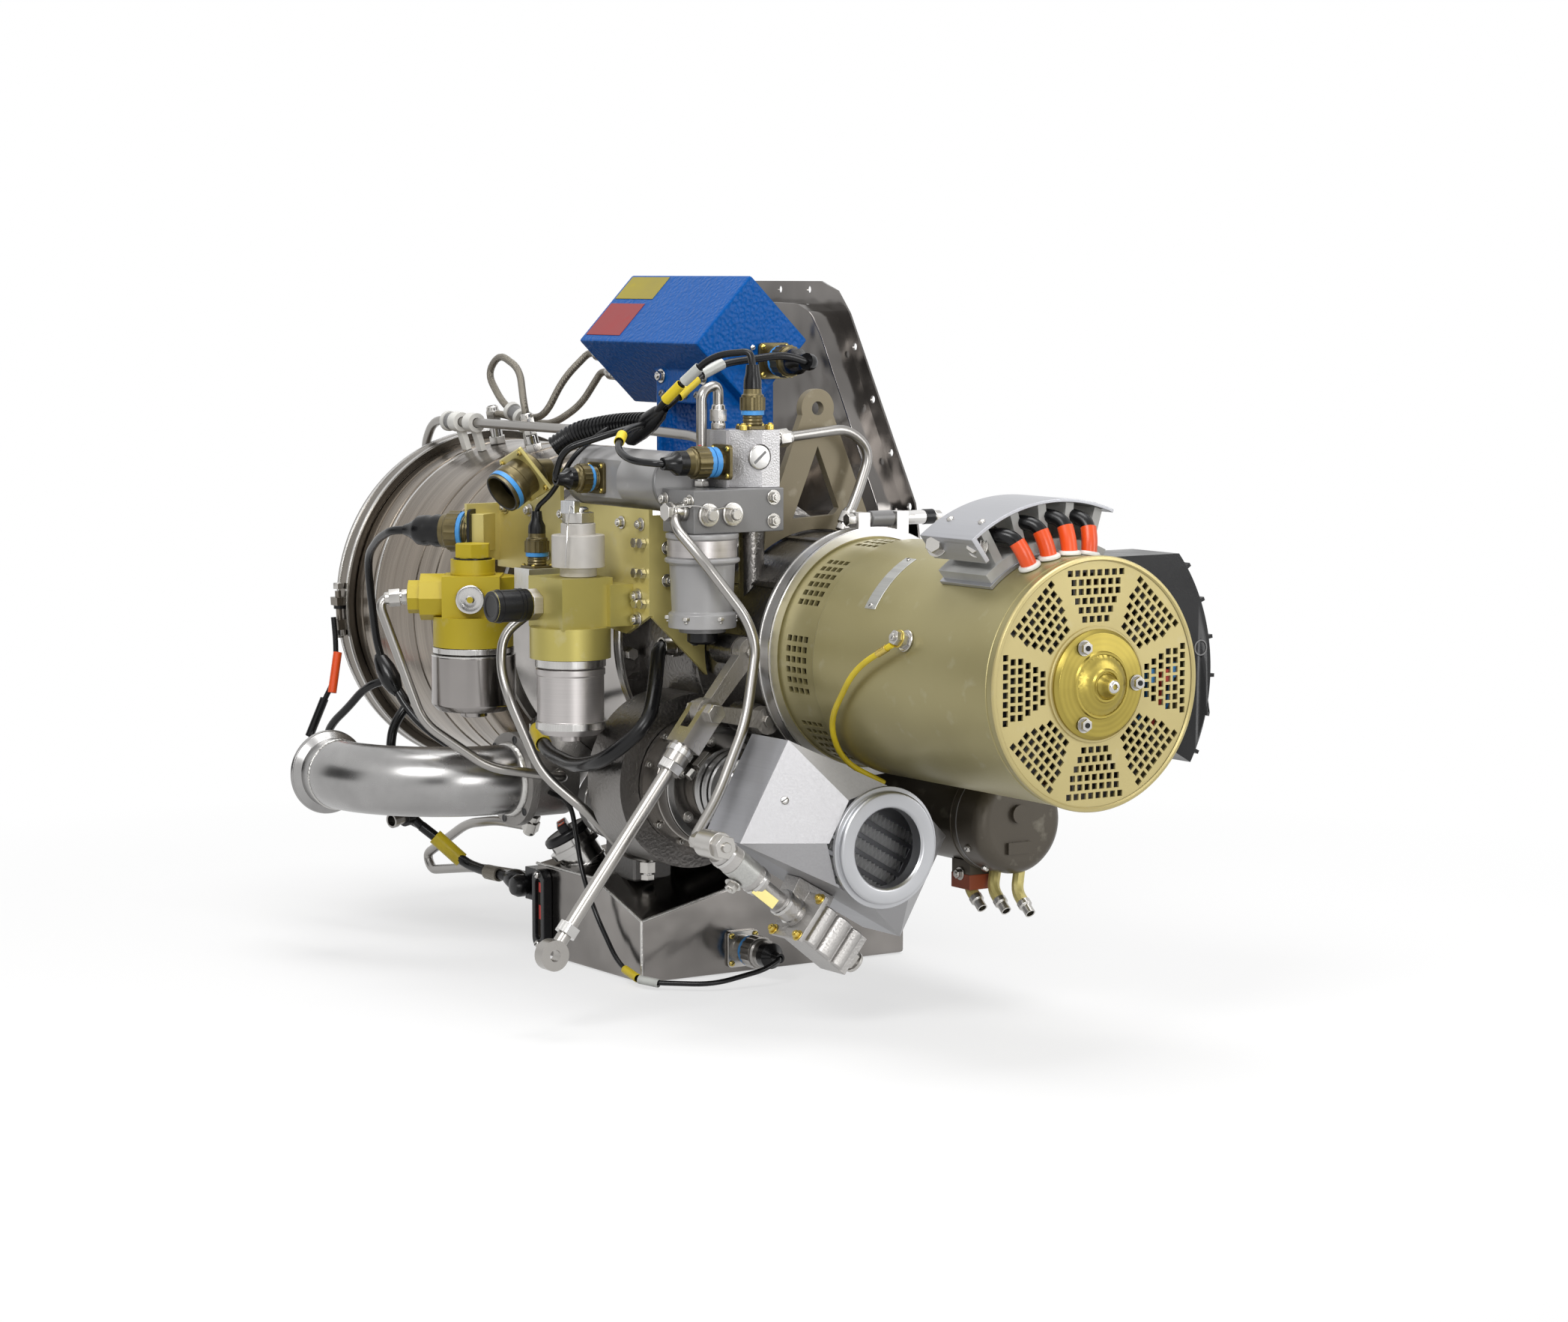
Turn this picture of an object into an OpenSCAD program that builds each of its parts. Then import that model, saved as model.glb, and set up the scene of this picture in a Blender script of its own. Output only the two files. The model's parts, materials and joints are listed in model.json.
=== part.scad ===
// Gas-turbine auxiliary power unit with its generator, starter, oil and fuel accessories.
// The rotor axis lies on X, the exhaust outlet is at X = 0 and the generator is at the far end.

/* [Generator] */
// Radius of the generator body
gen_r = 100; // [94:1:110]
// Length of the generator body from its shoulder to the screen
gen_len = 252; // [230:1:300]
// Length of the vented rear section
vent_len = 55; // [50:1:70]
// Step down from the body to the vented section
vent_step = 3; // [2:0.5:5]
// Wall of the generator housing
gen_wall = 3; // [2:0.5:5]
// Thickness of the perforated end screen
screen_t = 2; // [1.5:0.5:4]
// Square ventilation hole
hole_w = 5; // [4:0.5:5.5]
// Pitch of the ventilation holes
hole_pitch = 7.3; // [7:0.1:8]
// Radius of the hub cover
hub_r = 44; // [40:1:46]
// Radius of the generator shaft
shaft_r = 12; // [10:0.5:14]

/* [Engine] */
// Radius of the combustor drum
drum_r = 158; // [150:1:165]
// Length of the combustor drum
drum_len = 260; // [240:1:280]
// Wall of the engine casings
case_wall = 3; // [2.5:0.5:5]
// Radius of the exhaust outlet bore
exhaust_r = 92; // [80:1:100]
// Length of the exhaust duct
exhaust_len = 85; // [75:1:100]
// Radius of the compressor case
comp_r = 140; // [134:1:145]
// Length of the compressor case
comp_len = 195; // [185:1:210]

/* [Gearbox] */
// Radius of the gearbox body
gear_case_r = 110; // [106:1:116]
// Radius of the gearbox neck at the generator
neck_r = 98; // [94:1:99]
// Length of the gearbox body
gear_case_len = 100; // [98:1:110]
// Length of the gearbox neck
neck_len = 105; // [100:1:120]
// Gear tooth module
tooth = 3; // [2.5:0.25:3]
// Teeth on the rotor pinion
pinion_z = 12; // [10:1:14]
// Teeth on the large lay gear
lay_z = 36; // [34:1:38]
// Face width of the gears
gear_w = 15; // [10:1:18]

/* [Oil tank] */
// Length of the tank along the engine
tank_l = 186; // [160:1:200]
// Width of the tank across the engine
tank_w = 284; // [260:1:300]
// Height of the tank
tank_h = 108; // [100:1:130]

/* [Oil cooler] */
// Long side of the cooler core
cooler_w = 186; // [170:1:190]
// Short side of the cooler core
cooler_h = 95; // [90:1:100]
// Thickness of the cooler core
cooler_t = 54; // [45:1:60]
// Radius of the cooler ring
ring_r = 47; // [42:1:50]
// Tilt of the cooler about the engine axis
cooler_tilt = 30; // [25:1:35]

/* [Starter] */
// Radius of the starter motor
starter_r = 45; // [40:1:46]
// Length of the starter motor
starter_len = 170; // [150:1:190]

/* [Bleed air] */
// Outer radius of the bleed duct
bleed_r = 32; // [28:1:36]
// Wall of the bleed duct
bleed_wall = 2; // [1.5:0.5:3]
// Bend radius of the bleed duct
bleed_bend = 115; // [100:1:130]

/* [Filters] */
// Radius of the fuel filter bowl
fuel_bowl_r = 38; // [34:1:40]
// Radius of the oil filter bowl
oil_bowl_r = 30; // [26:1:33]
// Thickness of the folded bracket sheet
sheet_t = 4; // [3:0.5:5]

/* [Exciter] */
// Side of the square exciter box
exciter_w = 85; // [75:1:90]
// Length of the exciter box
exciter_l = 206; // [180:1:220]

/* [Support] */
// Bore of the lifting lug eye
eye_r = 6; // [4:0.5:8]
// Length of the strut from pin to end eye
strut_len = 243; // [200:1:280]
// Radius of the strut rod
rod_r = 6; // [5:0.5:8]

/* [Fits] */
// Gap between seated pieces
seat = 0.2; // [0.1:0.05:0.3]
// Running clearance of shafts in their bearings
running = 0.3; // [0.2:0.05:0.4]

/* [Hidden] */
$fn = 64;
cut = 1;
tube_sides = 8;
bend_steps = 3;

// Stations along the rotor axis
flange_t = 8;
drum_x = exhaust_len;
comp_x = drum_x + drum_len + flange_t;
gear_x = comp_x + comp_len - flange_t;
neck_x = gear_x + gear_case_len;
joint_x = neck_x + neck_len;
vent_x = joint_x + flange_t;
shoulder_x = vent_x + vent_len;
gen_x = shoulder_x + gen_len;
vent_r = gen_r - vent_step;
bore_r = gen_r - gen_wall;
flange_r = neck_r + 3;

// Gear train: rotor pinion, layshaft below it, output gear back on the rotor axis, fan gear to one side
centre_d = tooth * (pinion_z + lay_z) / 2;
drive_z = 18;
output_z = pinion_z + lay_z - drive_z;
fan_z = 42;
fan_turn = -68;
fan_d = tooth * (lay_z + fan_z) / 2;
lay_at = [0, -centre_d];
fan_at = [fan_d * sin(fan_turn), -centre_d - fan_d * cos(fan_turn)];
gear_a_x = neck_x - 40;
gear_b_x = neck_x + 2;
lay_r = 10;
fan_shaft_r = 8;
gear_room = 4;
bulge_wall = 6;
backlash = 0.94;

function tip_r(z) = tooth * (z / 2 + 1);
// Turn of a gear that meshes with one of z1 teeth turned by turn1 and lying in the direction phi from it
function mesh_turn(phi, z1, turn1, z2) = phi + 180 - (turn1 - phi) * z1 / z2 + 180 / z2;
lay_turn = mesh_turn(0, pinion_z, 0, lay_z);
drive_turn = mesh_turn(0, output_z, 0, drive_z);
fan_gear_turn = mesh_turn(fan_turn, lay_z, lay_turn, fan_z);

function unit(v) = v / norm(v);

// Turns a shape drawn along Z so that it lies along X
module along_x() rotate([0, 90, 0]) children();
// Turns a shape drawn along Z so that it points to -Y
module along_minus_y() rotate([90, 0, 0]) children();
// A ring of revolution about the rotor axis, drawn as [x, r] points
module turned(outline) along_x() rotate_extrude() polygon([for (p = outline) [p[1], p[0]]]);
module rod_x(x0, x1, at, r) translate([x0, at[0], at[1]]) along_x() cylinder(h = x1 - x0, r = r);
module block(low, high) translate(low) cube(high - low);
// Places a shape at p with its Z axis along d
module aim(p, d) {
    z = unit(d);
    x = unit(cross(abs(z[2]) < 0.9 ? [0, 0, 1] : [1, 0, 0], z));
    y = cross(z, x);
    multmatrix([for (i = [0:2]) [x[i], y[i], z[i], p[i]]]) children();
}
module rod(a, b, r) aim(a, b - a) cylinder(h = norm(b - a), r = r);
module hex_head(p, d, across, h) aim(p, d) cylinder(h = h, d = across / cos(30), $fn = 6);
// Copies a shape drawn at the top of a circle about the rotor axis
module around(n, first = 0) for (i = [0:n - 1]) rotate([first + 360 / n * i, 0, 0]) children();

// A tube swept along a route whose corners are rounded
function reach(p, i, bend) = min(bend, norm(p[i] - p[i - 1]) * 0.48, norm(p[i + 1] - p[i]) * 0.48);
function corner(p, i, bend) = let (
    d = reach(p, i, bend),
    a = p[i] + unit(p[i - 1] - p[i]) * d,
    c = p[i] + unit(p[i + 1] - p[i]) * d
) [for (k = [0:bend_steps]) let (t = k / bend_steps) (1 - t) * (1 - t) * a + 2 * t * (1 - t)
    * p[i] + t * t * c];
function route(p, bend) =
    concat([p[0]], [for (i = [1:1:len(p) - 2]) each corner(p, i, bend)], [p[len(p) - 1]]);
function heading(p, i) = unit(p[min(i + 1, len(p) - 1)] - p[max(i - 1, 0)]);
function carry(p, i, n) = i == len(p) ? [] :
    let (t = heading(p, i), m = unit(n - (n * t) * t)) concat([m], carry(p, i + 1, m));
module tube(points, r, bend, sides = tube_sides) {
    path = route(points, bend);
    n = len(path);
    side = carry(path, 0, abs(heading(path, 0)[2]) < 0.9 ? [0, 0, 1] : [1, 0, 0]);
    polyhedron(
        points = [for (i = [0:n - 1]) let (w = cross(heading(path, i), side[i]))
            for (k = [0:sides - 1]) path[i] + r * (cos(360 * k / sides) * side[i] + sin(360 * k / sides)
                * w)],
        faces = concat(
            [[for (k = [0:sides - 1]) k]],
            [[for (k = [0:sides - 1]) n * sides - 1 - k]],
            [for (i = [0:n - 2]) for (k = [0:sides - 1]) let (l = (k + 1)
            % sides, a = i * sides, b = a + sides)
                each [[a + k, b + k, b + l], [a + k, b + l, a + l]]]));
}

// An involute spur gear with its first tooth on local X
function roll(base, r) = let (a = acos(min(1, base / r))) tan(a) * 180 / PI - a;
module spur(z, bore) {
    pitch = z * tooth / 2;
    base = pitch * cos(20);
    root = pitch - 1.25 * tooth;
    start = max(base, root);
    half = 90 / z * backlash + roll(base, pitch);
    radii = [for (i = [0:3]) start + i / 3 * (pitch + tooth - start)];
    linear_extrude(gear_w) difference() {
        polygon([for (t = [0:z - 1]) each concat(
            [root * [cos(360 / z * t - half), sin(360 / z * t - half)]],
            [for (r = radii) let (a = 360 / z * t - half + roll(base, r)) r * [cos(a), sin(a)]],
            [for (i = [3:-1:0]) let (r = radii[i], a = 360 / z * t + half - roll(base, r)) r * [cos(a),
            sin(a)]],
            [root * [cos(360 / z * t + half), sin(360 / z * t + half)]])]);
        circle(bore);
    }
}
module gear_at(x, at, turn, z, bore) translate([x, at[0], at[1]]) along_x() rotate(turn) spur(z, bore);

// Engine core

rotor_r = 12;
module exhaust_duct() color("dimgray") turned([
    [0, exhaust_r + 11], [6, exhaust_r + 11], [6, exhaust_r + case_wall], [drum_x / 2, exhaust_r + case_wall],
    [drum_x - 13, drum_r - 10], [drum_x - 10, drum_r - 2], [drum_x - 10, drum_r + 3],
    [drum_x - seat, drum_r + 3],
    [drum_x - seat, drum_r - 6], [drum_x - 9, drum_r - 12], [drum_x / 2 + 2, exhaust_r], [0, exhaust_r]]);

clamp_r = drum_r + 8;
module combustor_clamp() color("silver") {
    turned([
        [drum_x - 13, drum_r + 1.5], [drum_x - 13, clamp_r], [drum_x + 13, clamp_r],
        [drum_x + 13, drum_r + 1.5],
        [drum_x + 10 + seat, drum_r + 1.5], [drum_x + 10 + seat, drum_r + 3 + seat],
        [drum_x - 10 - seat, drum_r + 3 + seat], [drum_x - 10 - seat, drum_r + 1.5]]);
    // T-bolt latch on the near side
    rotate([93, 0, 0]) {
        block([drum_x - 7, -16, clamp_r - 2], [drum_x + 7, -6, clamp_r + 9]);
        block([drum_x - 7, 8, clamp_r - 2], [drum_x + 7, 16, clamp_r + 9]);
        rod([drum_x, -24, clamp_r + 4], [drum_x, 22, clamp_r + 4], 3);
    }
}

drum_end = drum_x + drum_len;
shoulder_d = 30;
module combustor_casing() color("lightslategray") turned(concat(
    [[drum_x, drum_r + 3], [drum_x + 10, drum_r + 3], [drum_x + 10, drum_r]],
    [for (a = [0:15:75]) [drum_end - shoulder_d + shoulder_d * sin(a), drum_r - shoulder_d * (1 - cos(a))]],
    [[drum_end, comp_r - 4], [comp_x - seat, comp_r - 4],
     [comp_x - seat, drum_r - shoulder_d - case_wall]],
    [for (a = [75:-15:0]) [drum_end - shoulder_d - case_wall + shoulder_d * sin(a),
        drum_r - case_wall - shoulder_d * (1 - cos(a))]],
    [[drum_x, drum_r - case_wall]]));

liner_r = drum_r - 16;
module combustor_liner() color("peru") turned([
    [drum_x + 12, drum_r - case_wall - seat], [drum_x + 16, drum_r - case_wall - seat],
    [drum_x + 16, liner_r],
    [drum_end - 60, liner_r], [drum_end - 45, liner_r - 17], [drum_end - 45, liner_r - 20],
    [drum_end - 61, liner_r - 3], [drum_x + 12, liner_r - 3]]);

module blade(outline, t) translate([0, t / 2, 0]) along_minus_y() linear_extrude(t) polygon(outline);

turbine_x = drum_x + 22;
module turbine_wheel() color("dimgray") {
    turned([[turbine_x, rotor_r + seat], [turbine_x, 45], [turbine_x + 30, 52], [turbine_x + 38, 30],
        [turbine_x + 38, rotor_r + seat]]);
    around(14) translate([turbine_x + 14, 0, 0]) rotate([0, 0, 24])
        blade([[-11, 44], [-11, 66], [11, 70], [11, 44]], 3);
}

module rotor_shaft() color("silver") {
    rod_x(turbine_x - 4, gear_a_x + gear_w + 3, [0, 0], rotor_r);
    gear_at(gear_a_x, [0, 0], 0, pinion_z, rotor_r - 4);
}

impeller_x = comp_x + 32;
impeller_r = 75;
module impeller() color("gainsboro") {
    turned([[impeller_x, rotor_r + seat], [impeller_x, impeller_r], [impeller_x + 5, impeller_r],
        [impeller_x + 14, 46], [impeller_x + 34, 28], [impeller_x + 56, 21],
        [impeller_x + 56, rotor_r + seat]]);
    around(12) blade([[impeller_x + 3, 24], [impeller_x + 3, impeller_r], [impeller_x + 11, impeller_r],
        [impeller_x + 36, 54], [impeller_x + 52, 50], [impeller_x + 52, 18]], 2.5);
}

inlet_window_x = [comp_x + 80, comp_x + 128];
inlet_window_z = [-30, 90];
comp_flange_r = gear_case_r + 16;
module compressor_case() color("slategray") difference() {
    union() {
        compressor_shell();
        // Foot on the oil tank
        difference() {
            block([comp_x + 70, 16, seat - tank_top_drop], [comp_x + 116, 84, -comp_r / 2]);
            rod_x(comp_x, gear_x, [0, 0], comp_r - cut);
        }
    }
    block([inlet_window_x[0], comp_r / 2, inlet_window_z[0]], [inlet_window_x[1],
        2 * comp_r, inlet_window_z[1]]);
}
module compressor_shell()
    turned([
        [comp_x, rotor_r + running], [comp_x, comp_r - 4], [comp_x + flange_t, comp_r - 4],
        [comp_x + 20, comp_r], [comp_x + 130, comp_r], [comp_x + 150, comp_r - 5],
        [comp_x + 162, comp_r - 12],
        [gear_x - flange_t, gear_case_r + 10], [gear_x - flange_t, comp_flange_r],
        [gear_x - seat, comp_flange_r],
        [gear_x - seat, gear_case_r + 2], [gear_x - flange_t - 2, gear_case_r + 2],
        [comp_x + 160, comp_r - 15],
        [comp_x + 148, comp_r - 8],
        [comp_x + 128, comp_r - case_wall], [comp_x + 22, comp_r - case_wall], [comp_x + 10, comp_r - 12],
        [comp_x + 10, rotor_r + running]]);

// Inlet plenum: a dished sheet pan with a drilled flange, joined to the compressor case by a collar
pan_y = comp_r + 10;
pan_depth = 30;
pan_t = 2;
pan_edge = 16;
pan_x = comp_x - 103;
pan_top = 314;
pan_outline = [[pan_x, -60], [pan_x, pan_top - 30], [pan_x + 30, pan_top], [pan_x + 160, pan_top],
    [pan_x + 188, pan_top - 9], [pan_x + 208, pan_top - 30], [pan_x + 314, 111], [pan_x + 325, 60],
    [pan_x + 325, -60]];
pan_mid = [pan_x + 150, 110];
function shrunk(outline, edge) = [for (p = outline) p + unit(pan_mid - p) * edge * 1.3];
module pan_plate(outline, y, t) translate([0, y + t, 0]) along_minus_y() linear_extrude(t) polygon(outline);
pan_holes = concat(
    [for (x = [40:50:160]) [pan_x + x, pan_top - 8]],
    [for (k = [0.15:0.28:0.99]) let (a = pan_outline[5], b = pan_outline[6]) a + (b - a) * k + [-7, -5]],
    [for (z = [-40:60:260]) [pan_x + 8, z]]);
module inlet_plenum() color("slategray") difference() {
    union() {
        pan_plate(pan_outline, pan_y + pan_depth - pan_t, pan_t);
        pan_plate(shrunk(pan_outline, pan_edge), pan_y, pan_depth);
        difference() {
            block([inlet_window_x[0] - 8, comp_r * 0.7, inlet_window_z[0] - 8],
                [inlet_window_x[1] + 8, pan_y + pan_t, inlet_window_z[1] + 8]);
            rod_x(comp_x - cut, gear_x + cut, [0, 0], comp_r + seat);
        }
    }
    pan_plate(shrunk(pan_outline, pan_edge + pan_t), pan_y + pan_t, pan_depth);
    block([inlet_window_x[0], comp_r / 2, inlet_window_z[0]],
        [inlet_window_x[1], pan_y + pan_depth, inlet_window_z[1]]);
    // Relief where the pan passes the drum
    rod_x(drum_x, drum_end + 8, [0, 0], drum_r + 1);
    for (h = pan_holes) translate([h[0],
        pan_y + pan_depth + cut, h[1]]) along_minus_y() cylinder(h = 6, r = 3.5);
}

// Gearbox and gear train

lay_room = tip_r(lay_z) + gear_room;
fan_room = tip_r(fan_z) + gear_room;
drive_room = tip_r(drive_z) + gear_room;
starter_at = [80, -141];
bulge_x = gear_a_x - 14;
tank_top_drop = 195;
sump_low = -tank_top_drop;
sump_end = neck_x + 30;
cooler_x = joint_x + 12;
post_r = 7;
post_at = [[-12, -132], [-28, -172]];
ear_at = [[-114, 4], [-96, -58]];
ear_x = joint_x - 26;
pad_z = 103;
pad_at = [neck_x + 40, -76];
gear_wall_x = joint_x - 22;
module gearbox_housing() color("gray") difference() {
    union() {
        turned([[gear_x, 0], [gear_x, comp_flange_r], [gear_x + flange_t, comp_flange_r],
            [gear_x + flange_t, gear_case_r], [neck_x - 6, gear_case_r], [neck_x, gear_case_r - 3],
            [neck_x, neck_r],
            [joint_x - flange_t, neck_r], [joint_x - flange_t, flange_r], [joint_x, flange_r], [joint_x, 0]]);
        rod_x(gear_x, gear_a_x + gear_w + 10, lay_at, lay_room + bulge_wall);
        rod_x(gear_x, sump_end, lay_at, drive_room + bulge_wall);
        rod_x(bulge_x, neck_x, fan_at, fan_room + bulge_wall);
        rod_x(bulge_x, neck_x + 50, starter_at, starter_r + 3);
        block([gear_x + flange_t - 2, -45, sump_low + seat], [sump_end, 56, -centre_d]);
        for (p = post_at) rod_x(sump_end - 5, cooler_x - seat, p, post_r);
        for (p = ear_at) rod_x(ear_x - 34, ear_x, unit(p) * norm(p) * 0.96, 13);
        translate([pad_at[0], pad_at[1], 40]) cylinder(h = pad_z - 40 - seat, r = 11);
        // Cast ribs on the neck
        around(10, 18) block([neck_x - 2, -2.5, neck_r - 4], [joint_x - 12, 2.5, neck_r + 2]);
    }
    rod_x(gear_x + 8, neck_x - 8, [0, 0], gear_case_r - 8);
    rod_x(gear_x + 8, gear_wall_x, [0, 0], neck_r - 8);
    rod_x(gear_wall_x + 8, joint_x + cut, [0, 0], neck_r - 8);
    rod_x(gear_x + 8, gear_a_x + gear_w + 6, lay_at, lay_room);
    rod_x(gear_x + 8, gear_b_x + gear_w + 6, lay_at, drive_room);
    rod_x(bulge_x + bulge_wall, neck_x - bulge_wall, fan_at, fan_room);
    rod_x(gear_x - cut, gear_x + 9, [0, 0], rotor_r + running);
    rod_x(gear_x + 2, sump_end - 3, lay_at, lay_r + running);
    rod_x(bulge_x + 2, neck_x + cut, fan_at, fan_shaft_r + running);
    rod_x(gear_wall_x - cut, gear_wall_x + 9, [0, 0], shaft_r + running);
    // Room for the flange bolts beside the bulges
    flange_bolts() rod_x(gear_x + flange_t, gear_x + flange_t + bolt_h + 1, [0, 0], bolt_room);
}
// The starter pad takes the place of one flange bolt
bolt_w = 10;
bolt_h = 6;
bolt_room = bolt_w / 2 / cos(30) + 0.5;
module flange_bolts() for (k = [0:15]) if (k != 9)
    rotate([6 + 22.5 * k, 0, 0]) translate([0, 0, comp_flange_r - 7]) children();

module lay_gear() color("goldenrod") {
    rod_x(gear_x + 2.5, sump_end - 3.5, lay_at, lay_r);
    gear_at(gear_a_x, lay_at, lay_turn, lay_z, lay_r - 2);
    gear_at(gear_b_x, lay_at, drive_turn, drive_z, lay_r - 2);
}
module output_gear() color("gold") {
    gear_at(gear_b_x, [0, 0], 0, output_z, shaft_r - 3);
    rod_x(gear_b_x, joint_x - 4, [0, 0], shaft_r);
}
scroll_len = 42;
module fan_gear() color("darkkhaki") {
    rod_x(bulge_x + 2.5, neck_x + scroll_len - 12, fan_at, fan_shaft_r);
    gear_at(gear_a_x, fan_at, fan_gear_turn, fan_z, fan_shaft_r - 2);
}

// Oil cooler with its fan, bellows and transition duct

fan_r = 44;
scroll_r = 52;
module cooling_fan() color("gainsboro") translate([neck_x + 6, fan_at[0], fan_at[1]]) {
    turned([[0, fan_shaft_r + seat], [0, fan_r], [2, fan_r], [6, 20], [20, 14], [20, fan_shaft_r + seat]]);
    around(10) blade([[1, 16], [1, fan_r], [18, fan_r - 4], [18, 22], [14, 16]], 2);
}
bellows_r = 26;
module fan_scroll() color("gray") translate([neck_x + seat, fan_at[0], fan_at[1]]) difference() {
    union() {
        rod_x(0, scroll_len - 6, [0, 0], scroll_r);
        rod_x(scroll_len - 8, scroll_len, [0, 0], bellows_r + 3);
        // Air outlet on the lower side
        rotate([200, 0, 0]) block([4, -20, 20], [scroll_len - 10, 20, scroll_r + 10]);
    }
    rod_x(3, scroll_len - 9, [0, 0], scroll_r - 4);
    rod_x(-cut, 4, [0, 0], fan_shaft_r + 2);
    rod_x(scroll_len - 10, scroll_len + cut, [0, 0], bellows_r - 2);
    rotate([200, 0, 0]) block([8, -16, 20], [scroll_len - 14, 16, scroll_r + 12]);
}
bellows_x = neck_x + scroll_len + 2 * seat;
bellows_end = cooler_x - seat;
bellows_n = 7;
bellows_pitch = (bellows_end - bellows_x - 16) / bellows_n;
module cooler_bellows() color("silver") translate([0, fan_at[0], fan_at[1]]) turned(concat(
    [[bellows_x, bellows_r - 2], [bellows_x, bellows_r + 2], [bellows_x + 8, bellows_r + 2]],
    [for (i = [0:bellows_n - 1]) each [[bellows_x + 8 + bellows_pitch * (i + 0.25), bellows_r - 1],
        [bellows_x + 8 + bellows_pitch * (i + 0.75), bellows_r + 3]]],
    [[bellows_end - 8, bellows_r + 2], [bellows_end, bellows_r + 2], [bellows_end, bellows_r - 2]],
    [for (i = [bellows_n - 1:-1:0]) each [[bellows_x + 8 + bellows_pitch * (i + 0.75), bellows_r + 1.5],
        [bellows_x + 8 + bellows_pitch * (i + 0.25), bellows_r - 2.5]]]));

cooler_at = [-69, -149];
// Places a shape drawn with the cooler's long side on Y and its face on +X
module on_cooler(x) translate([x, cooler_at[0], cooler_at[1]]) rotate([-cooler_tilt, 0, 0]) children();
core_inset = 8;
fin_pitch = 13;
bar_h = 4;
module oil_cooler() color("silver") on_cooler(cooler_x) difference() {
    block([0, -cooler_w / 2, -cooler_h / 2], [cooler_t, cooler_w / 2, cooler_h / 2]);
    // Air passages between the oil bars
    for (z = [-cooler_h / 2 + core_inset:fin_pitch:cooler_h / 2 - core_inset - fin_pitch + bar_h])
        block([-cut, -cooler_w / 2 + core_inset + 20, z], [cooler_t + cut, cooler_w / 2 - core_inset - 20,
            z + fin_pitch - bar_h]);
}

duct_len = 50;
duct_t = 2;
ring_at = [1, 1];
// The sheet duct is folded from the core's oblong to eight flats at the outlet
flats_turn = 22.5;
module duct_mouth(x, h, grow) translate([x, ring_at[0], ring_at[1]]) along_x() rotate(flats_turn)
    cylinder(h = h, r = (ring_r - grow) / cos(flats_turn), $fn = 8);
module duct_solid(grow, over) hull() {
    block([-over, -cooler_w / 2 + grow, -cooler_h / 2 + grow], [1, cooler_w / 2 - grow, cooler_h / 2 - grow]);
    duct_mouth(duct_len - 1, 1 + over, grow);
}
module cooler_duct() color("lightgray") on_cooler(cooler_x + cooler_t + seat) difference() {
    duct_solid(0, 0);
    duct_solid(duct_t, 2);
}
module cooler_ring() color("gainsboro") on_cooler(cooler_x + cooler_t + duct_len + 2 * seat)
    translate([0, ring_at[0], ring_at[1]]) turned([[0, ring_r - 5], [0, ring_r], [5, ring_r], [5, ring_r + 4],
        [9, ring_r + 4], [9, ring_r], [14, ring_r], [14, ring_r - 5]]);

// Generator

// A curved bar about the rotor axis, its angle measured from the top towards the near side
module sector(x0, x1, r0, r1, a0, a1) translate([x0, 0, 0]) along_x() rotate(180 + a0)
    rotate_extrude(angle = a1 - a0) translate([r0, 0]) square([r1 - r0, x1 - x0]);
function polar(x, r, a) = [x, -r * sin(a), r * cos(a)];

module generator_clamp() color("silver") {
    turned([[joint_x - 10, flange_r - 2], [joint_x - 10, flange_r + 5], [joint_x + 10, flange_r + 5],
        [joint_x + 10, flange_r - 2], [joint_x + flange_t + seat, flange_r - 2],
        [joint_x + flange_t + seat, flange_r + seat], [joint_x - flange_t - seat, flange_r + seat],
        [joint_x - flange_t - seat, flange_r - 2]]);
    // T-bolt latch across the top
    block([joint_x - 7, -14, flange_r + 2], [joint_x + 7, -2, flange_r + 18]);
    block([joint_x - 7, 26, flange_r - 2], [joint_x + 7, 38, flange_r + 18]);
    rod([joint_x, -22, flange_r + 12], [joint_x, 76, flange_r + 12], 4);
    rod([joint_x, 38, flange_r + 12], [joint_x, 58, flange_r + 12], 6);
}

slot_l = 6;
slot_w = 5;
slot_pitch = 8;
screen_x = gen_x - screen_t;
module generator_housing() color("darkkhaki") difference() {
    turned([[joint_x + seat, flange_r], [vent_x, flange_r], [vent_x, vent_r], [shoulder_x - 2, vent_r],
        [shoulder_x, gen_r - 1], [shoulder_x + 2, gen_r], [screen_x - seat, gen_r], [screen_x - seat, bore_r],
        [shoulder_x + 2, bore_r], [shoulder_x - 2, vent_r - gen_wall], [joint_x + seat, vent_r - gen_wall]]);
    // Groups of vent slots round the rear section
    around(8, 2) for (i = [0:3]) for (k = [-2.5:1:2.5]) rotate([5.2 * k, 0, 0])
        translate([vent_x + vent_len / 2 + (i - 1.5) * slot_pitch, 0, vent_r])
            cube([slot_l, slot_w, 4 * gen_wall], center = true);
}

stator_x = [shoulder_x + 8, shoulder_x + 165];
module generator_stator() color("saddlebrown") turned([
    [stator_x[0], bore_r - seat], [stator_x[1], bore_r - seat], [stator_x[1], bore_r - 8],
    [stator_x[1] + 18, bore_r - 10],
    [stator_x[1] + 20, bore_r - 26], [stator_x[1], bore_r - 28], [stator_x[1], bore_r - 33],
    [stator_x[0], bore_r - 33], [stator_x[0], bore_r - 28], [stator_x[0] - 12, bore_r - 26],
    [stator_x[0] - 10, bore_r - 10], [stator_x[0], bore_r - 8]]);

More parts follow.
